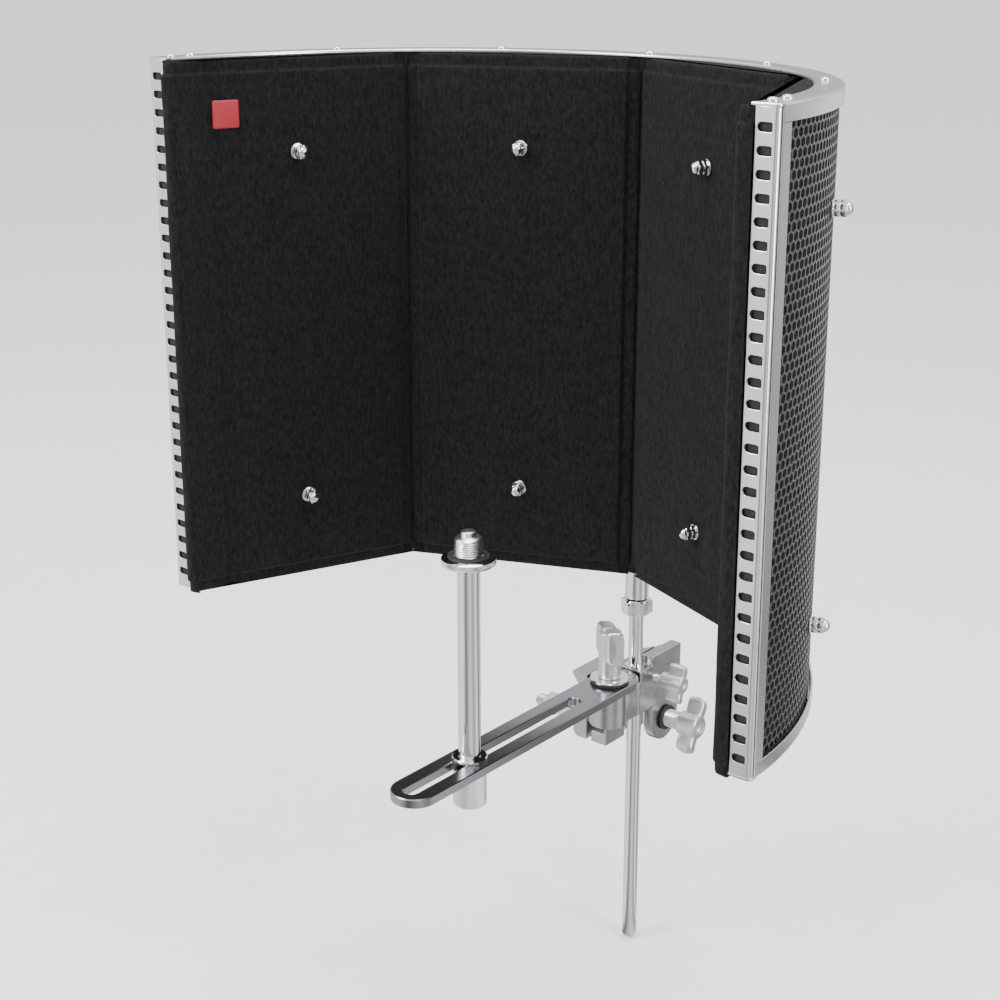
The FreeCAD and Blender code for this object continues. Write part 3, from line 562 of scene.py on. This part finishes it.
def posts():
    """The two end posts: a slotted web with rolled edges, a round corner, a seam and the outer flange."""
    low, high = 1.7, HEIGHT - 1.7
    inner_edge, web_end = 188.0, 197.6
    slot_centre, slot_pitch, slot_count = 193.2, 10, 30
    slot_length, slot_width = 8.0, 4.1

    def bend(r):
        """The round corner between web and flange, at a radius from its centre."""
        return [(197.3 + r * math.sin(a),
                 -1.7 - r * math.cos(a)) for a in (math.pi / 2 * k / 8 for k in range(9))]

    for node, side in (("left_end_post", -1), ("right_end_post", 1)):
        soft = 0.3
        outline = [(inner_edge + soft, low), (web_end, low), (web_end, high), (inner_edge + soft, high)]
        holes = [stadium(slot_centre, slot_pitch * (i + 1), slot_length + 2 * soft, slot_width + 2 * soft)
                 for i in range(slot_count)]
        web = plate(node + "_web", outline, holes, SHEET, soft, 2)
        upright = Matrix(((side, 0, 0, 0), (0, 0, 1, -3.4 * MM), (0, 1, 0, 0), (0, 0, 0, 1)))
        web.transform(upright)
        web.transform(Matrix.Translation(spot((0, 0, 0))))
        if side > 0:
            web.flip_normals()
        strips = Shape()
        profiles = [
            ([(196.6, -3.9)] + bend(2.3) + bend(1.2)[::-1] + [(196.6, -2.9)], low, high),
            (rounded([(198.8, -1.1), (200.0, -1.1), (200.0, -0.1), (198.8, -0.1)], [0.3, 0.4, 0, 0], 3), low,
             high),
            ([(198.8, -0.12), (200.0, -0.12), (200.0, 6.0), (198.8, 6.0)], 8.2, HEIGHT - 8.2),
            (rounded([(188.0, -3.3), (189.2, -3.3), (189.2, 6.0), (188.0, 6.0)], [0, 0, 0.3, 0.3], 2), low,
             high),
        ]
        for profile, bottom, top in profiles:
            start = len(strips.verts)
            strips.grid([[(side * x, y, z) for x, y in profile] for z in (bottom, top)], closed_columns=True)
            strips.faces.append(list(range(start, start + len(profile))))
            strips.faces.append(list(range(start + len(profile), start + 2 * len(profile))))
        made = build(node + "_channel", strips, 30)
        work = bmesh.new()
        work.from_mesh(made.data)
        work.from_mesh(web)
        bpy.data.meshes.remove(web)
        mark_sharp(work, 30)
        work.to_mesh(made.data)
        work.free()
        place(made, POST_METAL, node)


# ---------------------------------------------------------------- felt pads

def pad_rows(low, high, middle=96):
    """Places of a pad's rows: close together at its two pressed edges."""
    edge = [0, 0.4, 0.9, 1.6, 3.4, 5.6, 6.3, 6.8, 7.3, 7.8, 8.3, 8.8, 10.5]
    span = high - low - 2 * edge[-1]
    rows = [low + e for e in edge]
    rows += [low + edge[-1] + span * k / middle for k in range(1, middle)]
    rows += [high - e for e in reversed(edge)]
    return rows


def pressed(distance, width=8.5, depth=2.4, lip=1.6):
    """How far a pad's face sinks near an edge: a step down to a pressed border, then a rounded rim."""
    step = 1 - min(max(distance - (width - 2.2), 0.0) / 2.2, 1.0)
    rim = 1 - min(distance / 1.8, 1.0)
    border = 0.75 * step * step * (3 - 2 * step) + 0.25 * (1 - min(distance / width, 1.0))
    return depth * border + lip * rim * rim


def pad(name, node, angle, side_outline):
    """A felt pad. side_outline gives its plan: the points of its face, each with the way it is pressed in, and
    the points of its back."""
    low, high = node_box(node)
    shape = Shape()
    face, back = side_outline
    out = radial(angle)
    rows = []
    bottom, top = low.z, high.z
    for z in pad_rows(bottom, top):
        sink = pressed(min(z - bottom, top - z))
        row = []
        for p, normal in face:
            lumps = noise.noise(Vector((p.x * 0.05, p.y * 0.05, z * 0.03)) + out * 7) * 0.45
            fine = noise.noise(Vector((p.x * 0.35, p.y * 0.35, z * 0.2))) * 0.16
            keep = min(1.0, min(z - bottom, top - z) / 4)
            row.append(Vector((p.x, p.y, z)) + normal * (sink + (lumps + fine + 0.3) * keep))
        row += [Vector((p.x, p.y, z)) for p in back]
        rows.append(row)
    shape.grid(rows, closed_columns=True)
    width = len(rows[0])
    start = len(shape.verts) - width
    for base, order in ((0, 1), (start, -1)):
        loop = list(range(base, base + width))
        shape.faces.append(loop[::order])
    made = build(name, shape, 50, 0)
    place(made, FELT, node)


def centre_outline(angle):
    """A middle pad's plan: flat face with pressed borders at its two grooves, and the round back."""
    out, along = radial(angle), radial(angle + 90)
    face = []
    for u in pad_rows(-PAD_EDGE, PAD_EDGE, 44):
        depth = PAD_FACE + pressed(PAD_EDGE - abs(u))
        face.append((out * depth + along * u, out))
    back = []
    for k in range(31):
        turn = 22.5 * (1 - 2 * k / 30) * 0.9999
        back.append(radial(angle + turn) * PAD_BACK)
    return face, back


def outer_outline(side):
    """An outer pad's plan: it is pressed in at its groove, and wraps the free end of the panel."""
    out, along = radial(67.5), radial(157.5)
    face = []
    free = 53.5  # where the flat face ends, measured along it
    for u in pad_rows(-PAD_EDGE, PAD_EDGE, 44):
        if u < free - 9:
            face.append((out * (PAD_FACE + pressed(u + PAD_EDGE)) + along * u, out))
    for beyond in (8.8, 8.3, 7.8, 7.3, 6.8, 6.3, 5.0, 2.5, 0.0):
        face.append((out * (PAD_FACE + 1.3 * pressed(beyond, lip=0.0) / 2.4) + along * (free - beyond), out))
    # the free end: a soft turn from the face into the edge, then round the panel's end
    wrap = [(175.6, 12.6), (176.6, 10.6), (177.3, 8.0), (178.1, 4.0), (178.9, 0.0), (179.6, -3.6),
            (180.3, -6.0),
            (181.5, -7.4), (183.2, -8.0), (184.6, -8.0), (186.0, -7.7), (187.0, -6.6), (187.5, -5.2)]
    for x, y in wrap:
        inward = RIGHT if y > -5 else BACK
        face.append((Vector((x, y, 0)), inward))
    back = [Vector((187.5, -4.4, 0)), Vector((PAD_BACK, -4.4, 0)), Vector((PAD_BACK, 0, 0))]
    for k in range(1, 31):
        back.append(radial(90 - 45 * k / 30 * 0.9999) * PAD_BACK)
    if side < 0:
        face = [(Vector((-p.x, p.y, 0)), Vector((-n.x, n.y, 0))) for p, n in face]
        back = [Vector((-p.x, p.y, 0)) for p in back]
    return face, back


def pads():
    pad("felt_centre_left", "felt_pad_centre_left", -22.5, centre_outline(-22.5))
    pad("felt_centre_right", "felt_pad_centre_right", 22.5, centre_outline(22.5))
    pad("felt_outer_left", "felt_pad_left", -67.5, outer_outline(-1))
    pad("felt_outer_right", "felt_pad_right", 67.5, outer_outline(1))


# ---------------------------------------------------------------- fasteners

BOLT_ANGLES = (-67.5, -22.5, 22.5, 67.5)


def bolt_levels():
    """The two heights of the through bolts, read from their spacers."""
    low, high = node_box("air_gap_spacers")
    return low.z + 4.0, high.z - 4.0


def nut_rows(flats, height, bore, chamfer=0.45):
    """A hexagonal nut with chamfered corners, as a turned ring."""
    corner = flats / 2 / math.cos(math.pi / 6)
    return [(bore, 0), (flats / 2 * 0.96, 0), (corner, chamfer), (corner, height - chamfer),
            (flats / 2 * 0.96, height), (bore, height)]


def dome_rows(flats, height):
    """A domed nut, from its seat to the top of its cap."""
    corner = flats / 2 / math.cos(math.pi / 6)
    cap = flats / 2 - 0.3
    rows = [(flats / 2 * 0.96, 0), (corner, 0.4), (corner, 2.7), (flats / 2 * 0.97, 3.2), (cap, 3.3)]
    for k in range(9):
        a = math.pi / 2 * k / 8
        rows.append((max(cap * math.cos(a), 0.05), height - cap * 0.8 + cap * 0.8 * math.sin(a)))
    return rows


def fasteners():
    """The through bolts' visible ends: washers, nuts and domed nuts on both sides."""
    flats, bore = 7.0, BOLT_BORE
    washer = [(bore, 0), (4.3, 0), (4.5, 0.2), (4.5, 0.6), (4.3, 0.8), (bore, 0.8)]
    inside = {name: Shape() for name in ("inner_washers", "inner_hex_nuts", "inner_dome_nuts")}
    outside = {name: Shape() for name in ("outer_washers", "outer_hex_nuts", "outer_dome_nuts")}
    for angle in BOLT_ANGLES:
        out = radial(angle)
        for level in bolt_levels():
            base = UP * level
            for group, start, way in ((inside, INNER_SEAT, -1), (outside, OUTER_SEAT, 1)):
                names = list(group)
                axis = out * way
                origin = base + out * start
                group[names[0]].turn(origin, axis, washer, 36, closed=True)
                group[names[1]].turn(origin + axis * 0.82, axis, nut_rows(flats, 3.2, bore), 48,
                                     hexagonal(flats), True)
                group[names[2]].turn(origin + axis * 4.04, axis, dome_rows(flats, 6.0), 48, hexagonal(flats))
    for name, shape in {**inside, **outside}.items():
        place(build(name + "_set", shape, 32), STEEL, name)


def rim_screws():
    """Pan-head screws with a cross recess in each rim."""
    for node, face, way in (("top_rim_screws", HEIGHT, 1), ("bottom_rim_screws", 0.0, -1)):
        shape = Shape()
        angles = [-88.5, -84.5, -57.0, -28.0, 28.0, 57.0, 84.5, 88.5] + ([0.0] if way > 0 else [])
        for angle in angles:
            origin = radial(angle) * SCREW_CIRCLE + UP * face
            rows = [(2.62, 0), (2.7, 0.35), (2.55, 0.9), (2.15, 1.35), (1.5, 1.62), (1.15, 1.66), (0.75, 1.1),
                    (0.1, 0.75)]

            def cross(r, h, phi):
                if h < 1.0 or r > 1.3:
                    return r
                return r if r < 0.8 else r * (1.0 - 0.28 * abs(math.sin(2 * phi)))

            shape.turn(origin, UP * way, rows, 32, cross)
        place(build(node + "_heads", shape, 40), STEEL, node)


def badge():
    """A plain square badge, left blank."""
    low, high = node_box("badge")
    out = radial(-67.5)
    centre = (low + high) / 2
    along = Vector((out.y, -out.x, 0))
    half = (high.z - low.z) / 2
    shape = Shape()
    outline = rounded([(-half, -half), (half, -half), (half, half), (-half, half)], [1.0] * 4, 4)
    rings = []
    for shrink, lift in ((0.0, 0.55), (0.0, -0.2), (0.35, -0.55), (0.9, -0.6)):
        scale = (half - shrink) / half
        rings.append([centre + along * p[0] * scale + UP * p[1] * scale + out * lift for p in outline])
    shape.grid(rings, closed_columns=True)
    shape.faces.append(list(range(len(outline))))
    shape.faces.append(list(range(3 * len(outline), 4 * len(outline)))[::-1])
    place(build("badge_plate", shape), BADGE, "badge")


# ---------------------------------------------------------------- rod and microphone post

def thread(crest, depth, pitch):
    """Reshapes a turned piece's rows of the crest's radius into a helical thread."""
    def reach(r, h, phi):
        if r != crest:
            return r
        phase = (h / pitch - phi / math.tau) % 1.0
        return r - depth * (1 - abs(2 * phase - 1))
    return reach


def even_rows(radius, start, end, step):
    """Rows of one radius at even heights, about a step apart."""
    count = max(2, int((end - start) / step))
    return [(radius, start + (end - start) * k / count) for k in range(count + 1)]


def rod():
    """The chrome rod with its round lower end, its lock nut and the sleeve that it stands in."""
    low, high = node_box("support_rod")
    centre = Vector(((low.x + high.x) / 2, (low.y + high.y) / 2, 0))
    radius = (high.x - low.x) / 2
    rows = [(0.2, low.z)]
    for k in range(7):
        a = math.pi / 2 * k / 6
        rows.append((radius - 1.6 + 1.6 * math.sin(a), low.z + 1.6 - 1.6 * math.cos(a)))
    rows += [(radius, high.z - 1), (radius - 1, high.z)]
    turned("chrome_rod", "support_rod", CHROME, centre, UP, rows, closed=False)
    low, high = node_box("rod_lock_nut")
    flats = min(high.x - low.x, high.y - low.y)
    rows = nut_rows(flats, high.z - low.z, ROD_BORE, 1.0)
    turned("lock_nut", "rod_lock_nut", CHROME, centre + UP * low.z, UP, rows, 72, hexagonal(flats), sharp=30)
    low, high = node_box("rod_socket_sleeve")
    length = high.z - low.z
    outer = (high.x - low.x) / 2
    rows = [(ROD_BORE, 0), (outer - 0.5, 0), (outer, 0.5), (outer, length), (ROD_BORE, length)]
    turned("socket_sleeve", "rod_socket_sleeve", CHROME, centre + UP * low.z, UP, rows)


def diamond_knurl(depth, teeth, radius):
    """A radius with crossed knurling, whose diamonds are as tall as they are wide."""
    lead = teeth / radius

    def reach(r, h, phi):
        if r < radius - 0.05:
            return r
        one = abs(math.sin((teeth * phi + lead * h) / 2))
        two = abs(math.sin((teeth * phi - lead * h) / 2))
        return r - depth * (1 - min(one, two))
    return reach


def microphone_post():
    """The post from its foot nut up to the microphone thread, with the knurled disc that locks on it."""
    low, high = node_box("mic_post_tube")
    centre = Vector(((low.x + high.x) / 2, (low.y + high.y) / 2, 0))
    radius = (high.x - low.x) / 2
    rows = [(STUD_BORE, low.z), (radius - 0.4, low.z), (radius, low.z + 0.4), (radius, high.z - 0.5),
            (radius - 0.5, high.z), (STUD_BORE, high.z)]
    turned("post_tube", "mic_post_tube", CHROME, centre, UP, rows)
    foot_low, foot_high = node_box("post_foot_washer")
    rows = [(STUD_BORE, foot_low.z), (9.6, foot_low.z), (10, foot_low.z + 0.4), (10, foot_high.z - 0.5),
            (9.5, foot_high.z), (STUD_BORE, foot_high.z)]
    turned("foot_washer", "post_foot_washer", CHROME, centre, UP, rows)
    low, high = node_box("mic_thread_stud")
    neck = low.z + 5.65
    rows = [(7.45, low.z), (7.45, neck)]
    top = high.z - 4.5
    crest = 7.85
    rows += even_rows(crest, neck + 0.1, top, 0.16)
    rows += [(7.3, top + 0.5), (6.5, top + 1.35), (4.4, top + 1.5), (4.2, top + 1.7), (4.2, top + 4.0),
             (3.7, top + 4.5)]
    turned("microphone_stud", "mic_thread_stud", SATIN_STEEL, centre, UP, rows, 72, thread(crest, 0.62, 1.27),
           closed=False, sharp=60)
    low, high = node_box("knurled_disc")
    thick = high.z - low.z
    rows = [(THREAD_BORE, low.z), (13.9, low.z), (14.95, low.z + 0.9)]
    rows += even_rows(15.0, low.z + 1.0, high.z - 1.0, 0.5)
    rows += [(14.95, high.z - 0.9), (13.9, high.z), (THREAD_BORE, high.z)]

    def ribs(r, h, phi):
        return r - 0.28 * (0.5 - 0.5 * math.cos(90 * phi)) if r == 15.0 else r

    turned("locking_disc", "knurled_disc", CHROME, centre, UP, rows, 360, ribs, sharp=50)
    low, high = node_box("disc_friction_ring")
    rows = [(THREAD_BORE, low.z), (11.3, low.z), (11.5, low.z + 0.2), (11.5, high.z - 0.2), (11.3, high.z),
            (THREAD_BORE, high.z)]
    turned("friction_ring", "disc_friction_ring", RUBBER, centre, UP, rows)
    low, high = node_box("knurled_foot_nut")
    rows = [(STUD_BORE, low.z), (8.0, low.z), (9.1, low.z + 1.0)]
    rows += even_rows(9.5, low.z + 1.1, high.z - 1.1, 0.25)
    rows += [(9.1, high.z - 1.0), (8.4, high.z), (STUD_BORE, high.z)]
    knurl = diamond_knurl(0.5, 40, 9.5)
    turned("foot_nut", "knurled_foot_nut", SATIN_STEEL, centre, UP, rows, 240, knurl, sharp=60)
    low, high = node_box("under_arm_washer")
    rows = [(STUD_BORE, low.z), (9.3, low.z), (9.5, low.z + 0.2), (9.5, high.z - 0.2), (9.3, high.z),
            (STUD_BORE, high.z)]
    turned("under_washer", "under_arm_washer", STEEL, centre, UP, rows)


# ---------------------------------------------------------------- arm

def arm():
    """The slotted bar, with crisp chamfers."""
    low, high = node_box("slotted_arm")
    middle_x = (low.x + high.x) / 2
    half = (high.x - low.x) / 2
    soft = 0.5
    pivot = sum(node_box("pivot_stud"), Vector()) / 2

    def upright_slot(front, rear, r):
        points = [(middle_x + r * math.cos(a),
                   rear + r * math.sin(a)) for a in (math.pi * k / 40 for k in range(41))]
        return points + [(middle_x - r * math.cos(a), front - r * math.sin(a))
                         for a in (math.pi * k / 40 for k in range(41))]

    hole = 4.07 + soft
    round_hole = [(pivot.x + hole * math.cos(a), pivot.y + hole * math.sin(a))
                  for a in (math.tau * k / 40 for k in range(40))]
    outline = upright_slot(low.y + half, high.y - half, half - soft)
    mesh = plate("bar_outline", outline, [upright_slot(-17.5, 127.0, 4.5 + soft), round_hole], high.z - low.z,
                 soft, 0)
    mesh.transform(Matrix.Translation(spot((0, 0, (low.z + high.z) / 2))))
    place(finish_mesh("slotted_bar", mesh, 30), ARM_STEEL, "slotted_arm")


# ---------------------------------------------------------------- cast pieces

def soften(made, voxel, passes):
    """Rounds a hard-edged solid into a casting: even voxels, then smoothing."""
    remesh = made.modifiers.new("voxels", "REMESH")
    remesh.mode = "VOXEL"
    remesh.voxel_size = voxel * MM
    smooth = made.modifiers.new("smooth", "SMOOTH")
    smooth.factor = 0.5
    smooth.iterations = passes
    apply_modifiers(made)
    for polygon in made.data.polygons:
        polygon.use_smooth = True
    return made


def casting(name, node):
    """A piece with its CAD node's shape and cast, rounded edges."""
    made = add_object(name, frame["nodes"][node].data.copy())
    place(soften(made, 0.45, 5), CAST, node)


def castings():
    casting("clamp_casting", "clamp_body")
    casting("side_plate", "clamp_side_plate")


def lobe(shape, origin, axis, along, inner, outer, start, end, thick, offset):
    """One lobe of a wing: a rounded paddle that swells and bends aside towards its tip. along points out
    from the screw's axis."""
    across = axis.cross(along)
    stations = 12
    rows = []
    for i in range(stations + 1):
        f = i / stations
        reach = inner + (outer - inner) * f
        swell = math.sqrt(max(0.0, 1 - max(0.0, (f - 0.72) / 0.28) ** 2.4))
        half_thick = thick / 2 * (0.95 + 0.2 * f) * max(swell, 0.12)
        middle = (start + end) / 2
        half_deep = (end - start) / 2 * (0.86 + 0.14 * f) * max(swell ** 0.5, 0.3)
        bend = offset * (0.25 + 1.1 * f * f)
        ring = []
        for k in range(24):
            phi = math.tau * k / 24
            c, s = math.cos(phi), math.sin(phi)
            square = (abs(c) ** 5 + abs(s) ** 5) ** (-1 / 5)
            ring.append(origin + along * reach + across * (bend + c * square * half_thick)
                        + axis * (middle + s * square * half_deep))
        rows.append(ring)
    first = len(shape.verts)
    shape.grid(rows, closed_columns=True)
    shape.faces.append(list(range(first, first + 24)))
    last = first + stations * 24
    shape.faces.append(list(range(last, last + 24)))


def combine(main, tool, operation):
    """Joins a tool to a piece or cuts it out, once the piece's modifiers are applied."""
    change = main.modifiers.new("combine", "BOOLEAN")
    change.operation = operation
    change.object = tool
    change.solver = "EXACT"
    return tool


def wing(name, node, origin, axis, along, hub, length, reach, lobe_start, thick, offset, recess):
    """A cast wing: hub, two lobes set off from each other in an S, and a round recess in the hub's end."""
    body = Shape().turn(origin, axis, [(hub * 0.93, 0), (hub, 0.6), (hub, length - 0.8), (hub * 0.9, length)],
                        48)
    main = build(name + "_hub", body)
    tip = length + (3.0 if recess is None else 0.0)
    tools = []
    for way in (1, -1):
        paddle = Shape()
        lobe(paddle, origin, axis, along * way, 0.5, reach, lobe_start, tip, thick, offset)
        tools.append(combine(main, build(name + "_lobe", paddle), "UNION"))
    if recess:
        radius, depth = recess
        bore = Shape().turn(origin + axis * (length - depth), axis, [(radius, 0), (radius, depth + 2)], 48)
        tools.append(combine(main, build(name + "_recess", bore), "DIFFERENCE"))
    apply_modifiers(main)
    for tool in tools:
        bpy.data.objects.remove(tool)
    soften(main, 0.3, 6)
    main.name = name
    place(main, WING_CAST, node)


def wings():
    """The wings of the rod screw, the stand-clamp screw and the arm's pivot, each turned to its own angle."""
    for name, node, degrees, hub, reach, lobe_start, thick, offset, recess in (
        ("rod_wing", "rod_screw_wing", 63, 5.4, 12.2, 4.0, 6.0, 2.2, (2.4, 1.2)),
        ("clamp_wing", "clamp_screw_wing", 50, 7.6, 17.5, 1.6, 7.4, 3.2, (4.4, 2.2)),
    ):
        low, high = node_box(node)
        centre = Vector((low.x, (low.y + high.y) / 2, (low.z + high.z) / 2))
        slant = math.radians(degrees)
        along = (BACK * math.cos(slant) + UP * math.sin(slant)).normalized()
        wing(name, node, centre, RIGHT, along, hub, high.x - low.x, reach, lobe_start, thick, offset, recess)
    low, high = node_box("pivot_wing")
    centre = Vector(((low.x + high.x) / 2, (low.y + high.y) / 2, low.z))
    slant = math.radians(-52)
    wing("arm_wing", "pivot_wing", centre, UP, Vector((math.cos(slant), math.sin(slant), 0)),
         7.0, high.z - low.z - 3.0, 11.8, 11.0, 10.0, 3.0, None)


def studs():
    """Threaded studs and small turned parts of the clamp."""
    for node, axis, radius, pitch in (
        ("jaw_bolt", RIGHT, 4.0, 1.25),
        ("rod_screw_stud", RIGHT, 2.5, 0.8),
        ("clamp_screw_stud", RIGHT, 5.85, 1.5),
        ("pivot_stud", UP, 4.0, 1.25),
        ("post_foot_stud", UP, 4.0, 1.25),
    ):
        low, high = node_box(node)
        middle = (low + high) / 2
        length = (high - low).dot(axis)
        origin = middle - axis * (length / 2)
        rows = [(radius - 0.8, 0), (radius - 0.2, 0.7)]
        rows += even_rows(radius, 0.8, length - 0.8, pitch / 6)
        rows += [(radius - 0.2, length - 0.7), (radius - 0.8, length)]
        turned(node + "_thread", node, STEEL, origin, axis, rows, 40, thread(radius, 0.5 * pitch, pitch),
               closed=False, sharp=60)
    low, high = node_box("jaw_bolt_nut")
    origin = Vector((low.x, (low.y + high.y) / 2, (low.z + high.z) / 2))
    flats = 13.0
    rows = nut_rows(flats, high.x - low.x, STUD_BORE, 0.8)
    turned("side_nut", "jaw_bolt_nut", STEEL, origin, RIGHT, rows, 72, hexagonal(flats), sharp=30)
    for node, axis, outer, bore, soft, material in (
        ("jaw_bolt_spacer", RIGHT, 6.0, STUD_BORE, 0.5, STEEL),
        ("pivot_washer", UP, 12.0, 4.07, 0.35, STEEL),
        ("pivot_rubber_washer", UP, 11.6, 4.07, 0.4, RUBBER),
        ("clamp_screw_ring", RIGHT, 8.0, 5.95, 0.6, RUBBER),
        ("clamp_pressure_pad", RIGHT, 7.0, 0.1, 0.6, RUBBER),
    ):
        low, high = node_box(node)
        middle = (low + high) / 2
        length = (high - low).dot(axis)
        rows = [(bore, 0), (outer - soft, 0), (outer, soft), (outer, length - soft), (outer - soft, length),
                (bore, length)]
        turned(node + "_turned", node, material, middle - axis * (length / 2), axis, rows, 56, sharp=30)


# ---------------------------------------------------------------- stage

def dress_cad_nodes():
    """Every CAD node that is still shown gets the material of its slot."""
    for node, thing in frame["nodes"].items():
        material = SLOT_MATERIALS[NODE_SLOTS[node]]
        for i in range(len(thing.material_slots)):
            thing.material_slots[i].material = material


def stage():
    """A wide pale floor just under the rod's end, in metres."""
    floor_z = CAD_LOW[2] - 0.002
    reach, corners = 90, 64
    mesh = bpy.data.meshes.new("floor")
    ring = [(reach * math.cos(math.tau * k / corners), reach * math.sin(math.tau * k / corners), floor_z)
            for k in range(corners)]
    mesh.from_pydata(ring, [], [tuple(range(corners))])
    floor = add_object("floor", mesh)
    floor.data.materials.append(floor_material())


def area_light(name, place_at, target, width, power, height=None):
    """A rectangular light, in metres and watts, that faces its target."""
    light = bpy.data.lights.new(name, "AREA")
    light.shape = "RECTANGLE"
    light.size = width
    light.size_y = height or width
    light.energy = power
    made = add_object(name, light)
    made.location = place_at
    made.rotation_mode = "QUATERNION"
    made.rotation_quaternion = (Vector(target) - Vector(place_at)).to_track_quat("-Z", "Y")


# Grey values round the studio, from one turn to the next: white cards with dark gaps between them.
CARDS = ((0.0, 0.75), (0.06, 0.10), (0.12, 0.85), (0.20, 0.95), (0.27, 0.12), (0.36, 0.70), (0.44, 0.30),
         (0.52, 0.90), (0.60, 0.12), (0.68, 0.55), (0.76, 0.95), (0.84, 0.20), (0.91, 0.08), (1.0, 0.75))


def cards(nodes, links, vector):
    """The studio's cards as a grey value, by direction round the object."""
    radial_sweep = nodes.new("ShaderNodeTexGradient")
    radial_sweep.gradient_type = "RADIAL"
    links.new(vector, radial_sweep.inputs["Vector"])
    stops = nodes.new("ShaderNodeValToRGB")
    for position, value in CARDS:
        edge = position in (0.0, 1.0)
        stop = stops.color_ramp.elements[int(position)] if edge else stops.color_ramp.elements.new(position)
        stop.color = (value, value, value, 1)
    links.new(radial_sweep.outputs["Fac"], stops.inputs["Fac"])
    return stops.outputs["Color"]


def sky():
    """A plain studio dome. It is even white to the camera. Glossy rays see it white overhead, with white cards
    and dark gaps round the sides."""
    world = bpy.data.worlds.new("studio")
    bpy.context.scene.world = world
    world.use_nodes = True
    nodes, links = world.node_tree.nodes, world.node_tree.links
    coords = nodes.new("ShaderNodeTexCoord")
    split = nodes.new("ShaderNodeSeparateXYZ")
    links.new(coords.outputs["Generated"], split.inputs["Vector"])
    overhead = nodes.new("ShaderNodeMapRange")
    overhead.inputs["From Min"].default_value = 0.15
    overhead.inputs["From Max"].default_value = 0.38
    links.new(split.outputs["Z"], overhead.inputs["Value"])
    blend = nodes.new("ShaderNodeMixRGB")
    blend.inputs["Color2"].default_value = (1, 1, 1, 1)
    links.new(overhead.outputs["Result"], blend.inputs["Fac"])
    links.new(cards(nodes, links, coords.outputs["Generated"]), blend.inputs["Color1"])
    shiny = nodes.new("ShaderNodeMixRGB")
    shiny.inputs["Color1"].default_value = (1.25, 1.25, 1.25, 1)
    rays = nodes.new("ShaderNodeLightPath")
    links.new(rays.outputs["Is Glossy Ray"], shiny.inputs["Fac"])
    links.new(blend.outputs["Color"], shiny.inputs["Color2"])
    links.new(shiny.outputs["Color"], nodes["Background"].inputs["Color"])
    nodes["Background"].inputs["Strength"].default_value = 1.15


def floor_material():
    """Pale paper. Glossy rays see the studio's cards and dark gaps in it instead, as a glow of its own: a
    painted reflection in the shiny parts.
    """
    paper = matt_material("paper", (0.88, 0.88, 0.88), (0.91, 0.91, 0.91), 0.9, 40, 0.0001)
    nodes, links = paper.node_tree.nodes, paper.node_tree.links
    coords = nodes.new("ShaderNodeTexCoord")
    # painted reflection: an emission of the studio's cards and dark gaps that only glossy rays see on the floor
    dark = nodes.new("ShaderNodeEmission")
    links.new(cards(nodes, links, coords.outputs["Object"]), dark.inputs["Color"])
    dark.inputs["Strength"].default_value = 1.45
    rays = nodes.new("ShaderNodeLightPath")
    choice = nodes.new("ShaderNodeMixShader")
    links.new(rays.outputs["Is Glossy Ray"], choice.inputs["Fac"])
    links.new(nodes["Principled BSDF"].outputs["BSDF"], choice.inputs[1])
    links.new(dark.outputs["Emission"], choice.inputs[2])
    links.new(choice.outputs["Shader"], nodes["Material Output"].inputs["Surface"])
    return paper


def lights():
    """The studio dome and three area lights: in front, on the right and overhead."""
    middle = (CAD_LOW + CAD_HIGH) / 2
    sky()
    area_light("key", middle + Vector((-0.9, -1.4, 1.2)), middle, 0.9, 36)
    area_light("right", middle + Vector((1.7, -0.1, 0.5)), middle, 0.5, 28, 1.6)
    area_light("top", middle + Vector((0.1, 0.0, 1.7)), middle, 1.3, 34)


def camera():
    """The photograph's view, with a small downward shift of the lens."""
    sensor = 36.0
    focal_ratio = 1.7605  # the focal length over the sensor's width
    made = add_object("camera", bpy.data.cameras.new("camera"))
    made.location = spot((575.8, -646.4, 384.0))
    yaw, pitch = -0.6855, 0.289
    forward = Vector((math.sin(yaw) * math.cos(pitch), math.cos(yaw) * math.cos(pitch), -math.sin(pitch)))
    made.rotation_mode = "QUATERNION"
    made.rotation_quaternion = forward.to_track_quat("-Z", "Y")
    made.data.sensor_width = sensor
    made.data.lens = sensor * focal_ratio
    made.data.shift_y = -0.06
    made.data.clip_start = 0.01
    made.data.clip_end = 200
    bpy.context.scene.camera = made


dress_cad_nodes()
rims()
shell()
posts()
post_liners()
pads()
fasteners()
rim_screws()
badge()
rod()
microphone_post()
arm()
castings()
wings()
studs()
stage()
lights()
camera()
bpy.context.view_layer.update()
